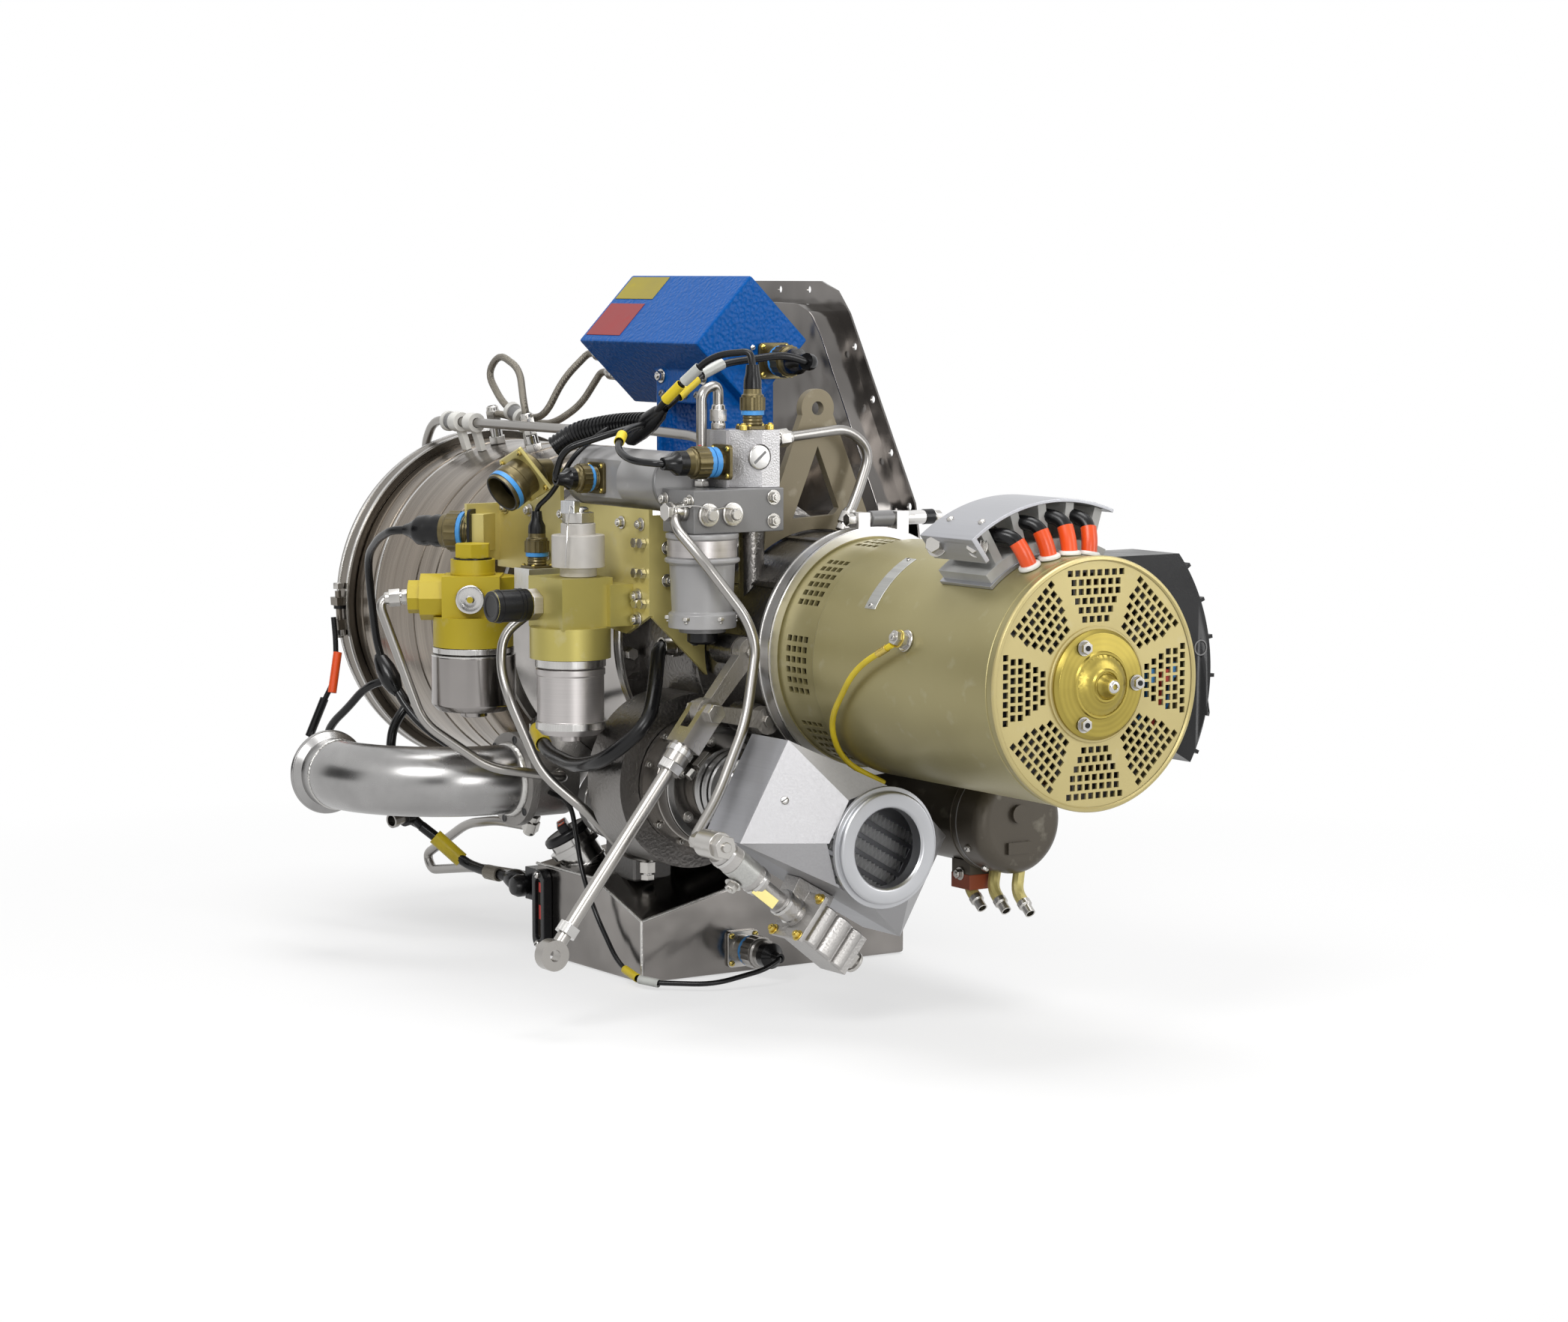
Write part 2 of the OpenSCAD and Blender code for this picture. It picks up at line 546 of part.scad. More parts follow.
bell_x = gen_x - 42;
gen_fan_x = bell_x - 22;
module generator_rotor() color("gray") {
    rod_x(joint_x - 4 + seat, bell_x + 26, [0, 0], shaft_r);
    rod_x(stator_x[0], stator_x[1], [0, 0], bore_r - 34.5);
    rod_x(gen_fan_x, gen_fan_x + 4, [0, 0], bore_r - 14);
    around(12) block([gen_fan_x + 3, -1.5, 30], [gen_fan_x + 16, 1.5, bore_r - 16]);
}
module end_bell() color("dimgray") difference() {
    union() {
        turned([[bell_x, bore_r - 10], [bell_x, bore_r - seat], [bell_x + 24, bore_r - seat],
            [bell_x + 24, bore_r - 10]]);
        rod_x(bell_x + 2, bell_x + 32, [0, 0], 26);
        around(6) block([bell_x + 6, -4, 20], [bell_x + 18, 4, bore_r - 6]);
    }
    rod_x(bell_x - cut, bell_x + 27, [0, 0], shaft_r + running);
}

rows = 6;
first_row_r = hub_r + 7;
function row_holes(row) = row < 4 ? 4 + row : 3 + row;
screw_circle = hub_r - 9;
module generator_screen() color("darkkhaki") translate([screen_x, 0, 0]) along_x() linear_extrude(screen_t)
    difference() {
        circle(gen_r);
        for (a = [0:120:240]) rotate(a + 90) translate([screw_circle, 0]) circle(2.5);
        for (s = [0:7]) rotate(45 * s) for (row = [0:rows - 1]) for (k = [0:row_holes(row) - 1])
            translate([first_row_r + hole_pitch * (row + 0.1), (k - (row_holes(row) - 1) / 2) * hole_pitch])
                square(hole_w, center = true);
    }
module hub_cover() color("gold") difference() {
    turned([[gen_x + seat, 0], [gen_x + seat, hub_r], [gen_x + 4, hub_r], [gen_x + 7, hub_r - 3],
        [gen_x + 8, 25],
        [gen_x + 11, 21], [gen_x + 13, 17], [gen_x + 14, 10], [gen_x + 18, 8], [gen_x + 24, 6],
        [gen_x + 24, 0]]);
    for (a = [0:120:240]) rotate([a - 90, 0, 0]) translate([gen_x - cut, 0, screw_circle]) along_x()
        cylinder(h = 12, r = 2.5);
}

// Terminal block on top of the generator near the screen
term_x = [gen_x - 112, gen_x - 48];
term_angles = [24, 12.5, 1, -10];
cover_r = gen_r + 45;
module terminal_block() color("gainsboro") {
    sector(term_x[0], term_x[1], gen_r + seat, gen_r + 12, -25, 40);
    for (a = [31, 18, 6.5, -5, -17])
        rotate([a, 0, 0]) block([term_x[0] + 6, -4, gen_r + 10], [term_x[1] - 2, 4, cover_r - 4]);
}
module terminal_cover() color("lightgray") {
    sector(term_x[0] - 4, term_x[1] + 2, cover_r - 4 + seat, cover_r - 1, -22, 36);
    sector(term_x[0] - 4, term_x[1] + 2, gen_r + 20, cover_r - 1, 35.5, 37.5);
}
lead_r = 6.5;
lead_x = gen_x - 32;
module terminal_leads() color("orangered") for (a = term_angles) {
    tube([polar(term_x[1] - 24, gen_r + 22, a), polar(term_x[1] + 8, gen_r + 24, a),
        polar(lead_x - 2, gen_r + 22, a),
        polar(lead_x, gen_r + 3, a)], lead_r, 14);
    difference() {
        rod(polar(lead_x, gen_r - 5, a), polar(lead_x, gen_r + 4, a), lead_r + 2);
        rod_x(lead_x - 20, lead_x + 20, [0, 0], gen_r + seat);
    }
}
stud_x = shoulder_x + 130;
stud_a = 73;
module ground_lead() color("gold") {
    difference() {
        rod(polar(stud_x, gen_r - 5, stud_a), polar(stud_x, gen_r + 16, stud_a), 5);
        rod_x(stud_x - 20, stud_x + 20, [0, 0], gen_r + seat);
    }
    tube([polar(stud_x - 3, gen_r + 11, stud_a + 3), polar(stud_x - 50, gen_r + 12, 88),
        polar(stud_x - 105, gen_r + 10, 115), polar(stud_x - 128, gen_r + 9, 140),
            polar(stud_x - 128, gen_r + 8, 165)], 2.5, 30);
}

scoop_x = [gen_x - 100, gen_x - 40];
scoop_r = gen_r + 51;
scoop_top = 96;
module scoop_ring(grow) sector(scoop_x[0] - cut, scoop_x[1] - grow, gen_r + 1 + grow, scoop_r - grow,
    -120 + grow / 2, -25 - grow);
module air_scoop() color("black") difference() {
    union() {
        intersection() {
            scoop_ring(0);
            block([scoop_x[0], 0, -200], [scoop_x[1], 200, scoop_top]);
        }
        for (a = [-116:12:-56]) rotate([a, 0, 0]) block([scoop_x[0], -1.5, scoop_r - 2], [scoop_x[1],
            1.5, scoop_r + 4]);
    }
    intersection() {
        scoop_ring(3);
        block([scoop_x[0] - 2, 0, -200], [scoop_x[1], 200, scoop_top - 3]);
    }
    rod_x(scoop_x[0] - cut, scoop_x[1] + cut, [0, 0], gen_r + seat);
}

// Starter motor below the generator, with its brush box and cable stubs
starter_x = neck_x + 50;
starter_end = starter_x + starter_len;
module starter_motor() color("gray") translate([0, starter_at[0], starter_at[1]]) {
    turned(concat(
        [[starter_x + seat, 0], [starter_x + seat, starter_r], [starter_x + 10, starter_r],
         [starter_x + 10, starter_r - 3], [starter_end - 40, starter_r - 3], [starter_end - 40, starter_r]],
        [for (a = [0:22.5:90]) [starter_end - 12 + 12 * sin(a), starter_r - 12 * (1 - cos(a))]],
        [[starter_end, 0]]));
    rod_x(starter_end - 1, starter_end + 4, [-4, 8], 8);
    block([starter_end - 1, -16, -26], [starter_end + 3, 8, -16]);
    block([starter_end - 70, -22, -starter_r - 16], [starter_end - 44, 4, -starter_r + 8]);
    for (i = [0:2]) tube([[starter_end - 60 + 22 * i, -8 + 9 * i, -starter_r - 1 + 3 * i],
        [starter_end - 56 + 22 * i, -14 + 9 * i, -starter_r - 16],
        [starter_end - 44 + 22 * i, -14 + 9 * i, -starter_r - 26]], 5, 8);
}

// Oil tank

tank_x = gear_x - 149;
tank_y = -125;
tank_top = -tank_top_drop;
tank_low = tank_top - tank_h;
module above(p, n) aim(p, n) translate([-500, -500, 0]) cube([1000, 1000, 500]);
module tank_solid() difference() {
    block([tank_x, tank_y, tank_low], [tank_x + tank_l, tank_y + tank_w, tank_top]);
    above([tank_x, 0, tank_top], [0, -0.192, 1]);
    above([tank_x + tank_l, 61, tank_top - 8], [0.316, -0.218, 0.923]);
    above([tank_x + tank_l, tank_y + tank_w - 40, tank_top], [0, 0.5, 1]);
    above([tank_x, 0, tank_top - 20], [-1, 0, 0.9]);
}
module oil_tank() color("silver") tank_solid();

neck_dir = unit([-0.25, -0.45, 0.86]);
neck_base = [tank_x + 42, tank_y + 34, tank_top - 30];
neck_tube_r = 20;
neck_h = 38;
module filler_neck() color("silver") difference() {
    union() {
        aim(neck_base, neck_dir) cylinder(h = neck_h, r = neck_tube_r);
        aim(neck_base + neck_dir * (neck_h - 12), neck_dir) cylinder(h = 6, r = neck_tube_r + 4);
        // Conical fairing down the near side of the tank
        aim(neck_base + neck_dir * 18, [0.22, -0.05, -1]) cylinder(h = 72, r1 = neck_tube_r, r2 = 6);
    }
    tank_solid();
    aim(neck_base + neck_dir * 20, neck_dir) cylinder(h = neck_h, r = neck_tube_r - 5);
}
cap_base = neck_base + neck_dir * (neck_h + running);
cap_r = 23;
module filler_cap() color("black") aim(cap_base, neck_dir) {
    translate([0, 0, -10]) cylinder(h = 10.5, r = neck_tube_r - 5 - running);
    cylinder(h = 7, r = cap_r);
    translate([0, 0, 6]) cylinder(h = 5, r = cap_r - 3);
    // Turning grip
    translate([-cap_r + 4, -5, 10]) cube([2 * cap_r - 8, 10, 6]);
}
gauge_at = [tank_x + 18, tank_low + 44];
gauge_w = 22;
gauge_h = 74;
module gauge_shape(w, h) {
    square([w, h - w], center = true);
    for (s = [-1, 1]) translate([0, s * (h - w) / 2]) circle(w / 2);
}
module sight_gauge() color("black") translate([gauge_at[0],
    tank_y - seat, gauge_at[1]]) along_minus_y() difference() {
    linear_extrude(9) gauge_shape(gauge_w, gauge_h);
    translate([0, 0, 5]) linear_extrude(9) gauge_shape(gauge_w - 12, gauge_h - 18);
}

// Bleed air valve and duct

bleed_x = comp_x + 33;
bleed_z = -comp_r;
seam_y = -150;
module bleed_valve() color("darkgray") difference() {
    union() {
        rod([bleed_x, seam_y + seat, bleed_z], [bleed_x, -96, bleed_z], bleed_r + 4);
        rod([bleed_x, seam_y + seat, bleed_z], [bleed_x, seam_y + 9, bleed_z], bleed_r + 11);
        rod([bleed_x, -110, bleed_z], [bleed_x, -50, bleed_z + 75], bleed_r - 2);
    }
    rod_x(comp_x - 20, gear_x, [0, 0], comp_r + seat);
    rod([bleed_x, seam_y - cut, bleed_z], [bleed_x, seam_y + 30, bleed_z], bleed_r - bleed_wall);
}
bleed_collar = 24;
module bleed_duct() color("silver") {
    translate([bleed_x - bleed_bend, seam_y, bleed_z]) rotate([0, 0, -90]) rotate_extrude(angle = 90)
        translate([bleed_bend, 0]) difference() {
            circle(bleed_r);
            circle(bleed_r - bleed_wall);
        }
    translate([bleed_x - bleed_bend - bleed_collar, seam_y - bleed_bend, bleed_z]) turned([
        [0, bleed_r - bleed_wall], [0, bleed_r + 6], [4, bleed_r + 6], [9, bleed_r], [bleed_collar, bleed_r],
        [bleed_collar, bleed_r - bleed_wall]]);
}

// Filters on a folded sheet bracket

bracket_y = -comp_r - 13;
face_y = bracket_y - sheet_t;
filter_y = face_y - 43;
fuel_x = neck_x - 229;
oil_x = neck_x - 56;
plate_outline = [[neck_x - 260, 56], [neck_x - 260, 121], [neck_x - 186, 121], [neck_x - 186, 150],
    [neck_x - 146, 150], [neck_x - 146, 121], [neck_x + sheet_t + seat, 121], [neck_x + sheet_t + seat, 30],
    [neck_x - 34, 12],
    [neck_x - 110, 20], [neck_x - 130, 56]];
web_outline = [[bracket_y, 116], [bracket_y, 28], [-98, -24], [-80, 10], [-70, 60], [-86, 100], [-110, 116]];
posts = [[fuel_x + 20, 92], [oil_x - 20, 100]];
module filter_bracket() color("darkkhaki") difference() {
    union() {
        translate([0, bracket_y, 0]) along_minus_y() linear_extrude(sheet_t) polygon(plate_outline);
        translate([neck_x + seat, 0, 0]) rotate([90, 0, 90]) linear_extrude(sheet_t) polygon(web_outline);
        for (p = posts) rod([p[0], bracket_y - 1, p[1]], [p[0], -60, p[1]], 7);
        // Folded tab for the end connector
        block([neck_x - 260, face_y - 34, 62], [neck_x - 260 + sheet_t, bracket_y, 114]);
    }
    rod_x(comp_x, gear_x + 3, [0, 0], comp_r + seat);
    rod_x(gear_x - cut, neck_x + 20, [0, 0], neck_r + 3);
    rod_x(gear_x - 20, neck_x, [0, 0], comp_flange_r + seat);
    // Lightening hole
    translate([neck_x - 100, bracket_y + 1, 70]) along_minus_y() cylinder(h = 10, r = 14);
}

head_low = -12;
module fuel_filter_head() color("gold") {
    translate([fuel_x, filter_y, head_low]) rotate([0, 0, -33.5]) {
        cylinder(h = 27, r = fuel_bowl_r - 2);
        translate([-24, -26, 26]) cube([50, 52, 38]);
        translate([0, 0, 63]) cylinder(h = 15, r = 20);
        translate([0, 0, 77]) cylinder(h = 4, r = 15);
        translate([0, 0, 80]) cylinder(h = 12, d = 34, $fn = 6);
        translate([0, -25, 44]) rotate([90, 0, 0]) cylinder(h = 22, d1 = 42, d2 = 42, $fn = 8);
        translate([0, -46, 44]) rotate([90, 0, 0]) cylinder(h = 12, d = 30, $fn = 8);
        translate([25, 0, 44]) along_x() cylinder(h = 6, r = 13);
    }
    block([fuel_x - 20, filter_y, 18], [fuel_x + 24, face_y - seat, 50]);
}
fuel_bowl_h = 58;
module fuel_filter_bowl() color("gray") translate([fuel_x, filter_y, head_low - seat]) rotate([180, 0, 0])
    rotate_extrude() polygon([[0, 0], [fuel_bowl_r - 4, 0], [fuel_bowl_r - 4, 6], [fuel_bowl_r, 8],
        [fuel_bowl_r, fuel_bowl_h - 6], [fuel_bowl_r - 6, fuel_bowl_h], [12, fuel_bowl_h],
        [12, fuel_bowl_h + 6],
        [0, fuel_bowl_h + 6]]);
oil_low = -8;
module oil_filter_head() color("darkkhaki") {
    translate([oil_x, filter_y, oil_low]) {
        cylinder(h = 27, r = oil_bowl_r + 5);
        translate([-30, -24, 26]) cube([58, 50, 44]);
        translate([-16, -23, 46]) rotate([90, 0, 0]) cylinder(h = 12, r = 11);
        translate([-16, -34, 46]) rotate([90, 0, 0]) cylinder(h = 34, r = 13.5);
    }
    block([oil_x - 10, filter_y + 20, 20], [oil_x + 34, face_y - seat, 56]);
}
oil_bowl_h = 66;
module oil_filter_bowl() color("lightgray") translate([oil_x, filter_y, oil_low - seat]) rotate([180, 0, 0])
    rotate_extrude() polygon(concat(
        [[0, 0], [oil_bowl_r - 3, 0], [oil_bowl_r - 3, 8]],
        [[oil_bowl_r, 9], [oil_bowl_r, 14], [oil_bowl_r - 1, 15], [oil_bowl_r - 1, oil_bowl_h - 12]],
        [[oil_bowl_r, oil_bowl_h - 11], [oil_bowl_r, oil_bowl_h - 5], [oil_bowl_r - 5, oil_bowl_h]],
        [[9, oil_bowl_h], [9, oil_bowl_h + 6], [0, oil_bowl_h + 6]]));
switch_at = [oil_x + 4, filter_y + 6, oil_low + 70 + seat];
module pressure_switch() color("white") translate(switch_at) {
    cylinder(h = 8, r = 16);
    translate([0, 0, 8]) cylinder(h = 28, r = 23);
    translate([0, 0, 36]) cylinder(h = 10, r = 15);
    translate([0, 0, 46]) cylinder(h = 10, r = 8);
}

// Fuel control, manifold and valve block above the pump

manifold_low = [neck_x + 15, -150, pad_z];
manifold_high = [neck_x + 65, -59, pad_z + 37];
module manifold_block() color("gray") block(manifold_low, manifold_high);
valve_low = [neck_x + 14, -106, manifold_high[2] + seat];
valve_high = [neck_x + 60, -60, manifold_high[2] + 49];
module valve_block() color("gainsboro") difference() {
    block(valve_low, valve_high);
    // Chamfer on the near front edge
    translate([valve_high[0], valve_low[1], valve_low[2] - cut]) rotate([0, 0, 45])
        translate([-9, -20, 0]) cube([40, 40, 80]);
    translate([valve_high[0] - 4, valve_high[1] - 20, valve_low[2] + 26]) along_x() cylinder(h = 6, r = 11);
}
control_r = 26;
control_at = [-131, manifold_high[2] + 4];
module fuel_control() color("gray") difference() {
    rod_x(neck_x - 137, valve_low[0] - seat, control_at, control_r);
    block([neck_x - 118, control_at[0] - 2 * control_r, control_at[1] - 40],
        [neck_x - 50, control_at[0] - control_r + 6, control_at[1] + 40]);
}
pump_r = 31;
pump_at = [neck_x + 48, -131];
module fuel_pump() color("gray") translate([pump_at[0], pump_at[1], pad_z - seat]) rotate([180, 0, 0])
    rotate_extrude() polygon([[0, 0], [pump_r, 0], [pump_r, 4], [pump_r - 2, 5], [pump_r - 2, 20],
        [pump_r + 1, 21],
        [pump_r + 1, 24], [pump_r - 3, 26], [pump_r - 5, 66], [pump_r - 2, 68], [pump_r - 2, 80], [12, 80],
        [12, 90], [0, 90]]);

// Lifting lug
lug_x = neck_x + 21;
lug_t = 8;
eye_z = 205;
lug_outline = [[-57, 70], [-54, 104], [-16, 200], [16, 200], [56, 104], [60, 70]];
lug_window = [[-26, 110], [0, 172], [22, 118], [16, 112]];
module lug_plate() color("tan") translate([lug_x, 0, 0]) difference() {
    union() {
        rotate([90, 0, 90]) linear_extrude(lug_t) polygon(lug_outline);
        rod_x(0, lug_t, [0, eye_z], 17);
    }
    rod_x(-cut, lug_t + cut, [0, eye_z], eye_r);
    translate([-cut, 0, 0]) rotate([90, 0, 90]) linear_extrude(lug_t + 2 * cut) polygon(lug_window);
    rod_x(-cut, lug_t + cut, [0, 0], neck_r + 2 + seat);
}

// Ignition exciter on its saddle
exciter_x = neck_x - 312;
exciter_at = [20, 260];
exciter_turn = 46;
module exciter_core(grow) translate([exciter_x, exciter_at[0], exciter_at[1]]) rotate([exciter_turn, 0, 0])
    block([-grow, -exciter_w / 2 - grow, -exciter_w / 2 - grow],
        [exciter_l + grow, exciter_w / 2 + grow, exciter_w / 2 + grow]);
saddle_x = [comp_x + 70, comp_x + 165];
module exciter_box() color("royalblue") {
    exciter_core(0);
    difference() {
        block([saddle_x[0], -14, comp_r / 2], [saddle_x[1], 54, exciter_at[1] - 20]);
        rod_x(comp_x, gear_x, [0, 0], comp_r + seat);
        block([saddle_x[0] + 8, -15, comp_r + 12], [saddle_x[1] - 8, 55, exciter_at[1] - exciter_w / 2 - 14]);
    }
}

// Electrical connectors, harness and leads

exciter_plug = [exciter_x + exciter_l + seat, 42, 243];
valve_plug = [neck_x + 42, -76, valve_high[2] + seat];
control_plug = [neck_x - 90, control_at[0] - control_r + 6 - seat, control_at[1]];
block_plug = [neck_x + 43, valve_low[1] - seat, valve_low[2] + 22];
harness_plug = [neck_x - 166, face_y - seat, 146];
end_plug = [neck_x - 260 - seat, face_y - 17, 88];
filter_plug = [neck_x - 146, face_y - 24, 62];
tank_plug = [tank_x + tank_l + seat, -20, tank_low + 22];
lead_plugs = [[exciter_x - seat, -8, 246], [exciter_x - seat, 6, 228]];
igniters = [[drum_x + 161, 15], [drum_x + 65, 10]];

// A circular connector standing on p and pointing along d
module plug(p, d, r, l) aim(p, d) {
    translate([-1.25 * r, -1.25 * r, 0]) cube([2.5 * r, 2.5 * r, 3]);
    rotate_extrude() polygon([[0, 0], [r, 0], [r, 0.28 * l], [r + 2, 0.3 * l], [r + 2, 0.6 * l],
        [r - 1, 0.62 * l],
        [r - 3, l], [0, l]]);
}
module connectors() color("darkolivegreen") {
    plug(exciter_plug, [1, 0, 0], 13, 44);
    plug(valve_plug, [0, 0, 1], 9, 44);
    plug(control_plug, [0, -1, 0], 11, 32);
    plug(block_plug, [0, -1, 0], 12, 50);
    plug(end_plug, [-1, 0, 0], 15, 52);
    plug(tank_plug, [1, 0, 0], 13, 52);
    plug(filter_plug, [0, 0, 1], 9, 40);
    block([filter_plug[0] - 13, face_y - 40, 44], [filter_plug[0] + 13, face_y - seat, 62 + cut]);
    // Angled harness receptacle on its stub
    rod(harness_plug, harness_plug + [0, -20, 0], 12);
    plug(harness_plug + [6, -19, 4], [-0.3, -0.85, -0.43], 17, 40);
    for (p = lead_plugs) plug(p, [-1, 0, 0], 7, 24);
    for (g = igniters) difference() {
        rod(polar(g[0], drum_r - 5, g[1]), polar(g[0], drum_r + 16, g[1]), 8);
        rod_x(drum_x, drum_end, [0, 0], drum_r + seat);
    }
}

trunk_end = [580, -118, 192];
module harness() color("black") {
    tube([harness_plug + [16, -4, 22], [502, -144, 182], [540, -126, 190], trunk_end], 9, 20);
    tube([trunk_end, [600, -104, 212], [592, -60, 242], [600, 10, 250], exciter_plug + [66, -6, 0],
        exciter_plug + [56, 0, 0], exciter_plug + [44.5, 0, 0]], 4.5, 30);
    tube([trunk_end, [610, -118, 214], [650, -96, 252], valve_plug + [-4, 0, 66], valve_plug + [0, 0, 56],
        valve_plug + [0, 0, 44.5]], 4, 24);
    tube([trunk_end, [585, -150, 186], [556, -190, 170], control_plug + [0, -44, 0],
        control_plug + [0, -32.5, 0]], 4, 20);
    tube([block_plug + [0, -50.5, 0], block_plug + [0, -64, 0], [660, -184, 164], [630, -180, 172],
        [600, -156, 186],
        trunk_end], 4, 16);
    tube([filter_plug + [0, 0, 40.5], filter_plug + [0, 0, 54], [514, -176, 130], [534, -166, 164],
        [540, -140, 184],
        [540, -126, 190]], 3, 14);
    // From the end connector down the drum to the bleed valve
    tube([end_plug + [-52.5, 0, 0], end_plug + [-66, 0, 0], [250, -180, 84], [180, -186, 66], [164, -186, 16],
        [200, -188, -40], [250, -176, -100], [310, -128, -142], [bleed_x - bleed_r - 4.6, -128, -142]],
        5, 34);
    // Rear sensor lead
    tube([[drum_x + 4, -clamp_r - 12, -12], [110, -196, -50], [126, -208, -100], [150, -214, -150],
        [230, -190, -165],
        [310, -112, -152], [bleed_x - bleed_r - 3.6, -112, -152]], 3.5, 24);
    // Level sensor lead round the near side of the tank
    tube([tank_plug + [52.5, 0, 0], tank_plug + [64, 0, 0], [646, -40, -288], [640, -90, -297],
        [598, -136, -297],
        [556, -136, -288], [514, -134, -250], [500, -140, -214], [460, -128, -154],
        [bleed_x + bleed_r + 4, -128, -150]],
        3, 18);
}
module ignition_leads() color("dimgray") {
    tube([lead_plugs[0] + [-24.5, 0, 0], lead_plugs[0] + [-36, 0, 0], [276, -26, 222], [264, -40, 186],
        [222, -40, 182],
        [186, -42, 196], [156, -42, 224], [180, -42, 244], [220, -42, 230], polar(igniters[0][0],
        drum_r + 44, igniters[0][1]),
        polar(igniters[0][0], drum_r + 16.5, igniters[0][1])], 3.5, 16);
    tube([lead_plugs[1] + [-24.5, 0, 0], lead_plugs[1] + [-36, 0, 0], [270, -4, 196], [250, -22, 178],
        [204, -26, 178],
        [166, -28, 184], polar(igniters[1][0], drum_r + 30, igniters[1][1]),
        polar(igniters[1][0], drum_r + 16.5, igniters[1][1])], 3.5, 14);
}

// Steel tubes, hose and clips

tube_r = 4.5;
manifold_banjo = [neck_x + 50, manifold_low[1] - seat, 122];
reg_from = [cooler_x + 63, -204, -141];
reg_dir = unit([0, 45, -36]);
tank_port = [530, -90, -219];
module banjo(p, d) aim(p, d) {
    cylinder(h = 14, r = 8);
    translate([0, 0, 14]) cylinder(h = 5, d = 14, $fn = 6);
}
module steel_tubes() color("silver") {
    banjo(manifold_banjo, [0, -1, 0]);
    tube([manifold_banjo + [0, -8, 0], [704, -168, 110], [728, -158, 86], [752, -128, 36], [758, -122, 12],
        [770, -140, -50], [784, -178, -110], [790, -203, -138], [798, -204, -141], reg_from - [9.5, 0, 0]],
        tube_r, 20);
    // Fuel filter and oil filter lines
    tube([[fuel_x - 33, filter_y - 49, 32], [364, -272, 30], [404, -248, -80], [438, -200, -120],
        [456, -128, -133],
        [bleed_x + bleed_r + 4.3, -128, -133]], tube_r, 16);
    tube([[oil_x - 30.5, filter_y - 12, 30], [540, -212, 30], [530, -236, 10], [532, -240, -18],
        [546, -240, -44],
        [560, -216, -110], [580, -180, -146], [560, -130, -188], tank_port + [0, 0, 20], tank_port],
        tube_r, 18);
    // Drain loop beside the tank
    tube([[378, -120, bleed_z - bleed_r - 4.5], [372, -120, -188], [308, -120, -190], [250, -120, -200],
        [168, -120, -240],
        [178, -120, -254], [260, -118, -241], [340, -104, -240], [tank_x - 0.5, -104, -240]], tube_r, 18);
    // Probe tube over the drum
    tube([[neck_x + 13.5, -84, 172], [636, -84, 172], [590, -76, 180], [500, -70, 182], [340, -60, 177],
        [78, -60, 177],
        [52, -56, 150], [55, -52, 120]], tube_r, 18);
    // Valve block lines
    tube([[neck_x + 46, valve_high[1] + 0.5, 180], [686, 20, 188], [686, 44, 168], [686, 30, 130],
        [686, 14, 99]], tube_r, 20);
    tube([[neck_x + 22, -115, manifold_high[2] + 0.5], [662, -115, 222], [662, -98, 228],
        [662, -98, valve_high[2] + 0.5]],
        tube_r, 10);
}
module oil_hose() color("black") tube([[616, -gear_case_r - 0.5, 0], [616, -130, 0], [644, -152, -36],
    [666, -172, -60],
    [636, -196, -92], [580, -192, -104], [500, -174, -102], [440, -150, -92], [404, -130, -86],
    [404, -130, bleed_z + bleed_r + 3]], 6.5, 26);

// A clip that holds a tube of radius r on the drum
module clip(x, at, r) {
    a = atan2(-at[0], at[1]);
    h = norm(at);
    difference() {
        rotate([a, 0, 0]) union() {
            rod_x(x - 7, x + 7, [0, h], r + 5);
            block([x - 5, -3, drum_r - 4], [x + 5, 3, h]);
        }
        rod_x(x - 8, x + 8, at, r + seat);
        rod_x(drum_x, drum_end, [0, 0], drum_r + seat);
    }
}
module tube_clips() color("white") {
    for (x = [130, 160]) clip(x, [-60, 177], tube_r);
    clip(204, [-26, 178], 4.5);
}

reg_cyl_r = 12;
module regulator() color("lightgray") {
    aim(reg_from, reg_dir) {
        translate([0, 0, -8]) cylinder(h = 16, r = 9);
        translate([0, 0, 8]) cylinder(h = 50, r = reg_cyl_r);
        translate([0, 0, 57]) cylinder(h = 26, r = 6.5);
        translate([0, 0, 82]) cylinder(h = 24, r = 11);
        translate([-24, -22, 104]) cube([44, 44, 4]);
        translate([-18, -18, 107]) cube([36, 36, 58]);
        translate([0, 0, 164]) cylinder(h = 14, r = 7);
    }
    on_cooler(cooler_x) block([cooler_t - 12, -30, -cooler_h / 2 - 24],
        [cooler_t + 8, 10, -cooler_h / 2 - seat]);
}

// Support strut on its wishbone bracket

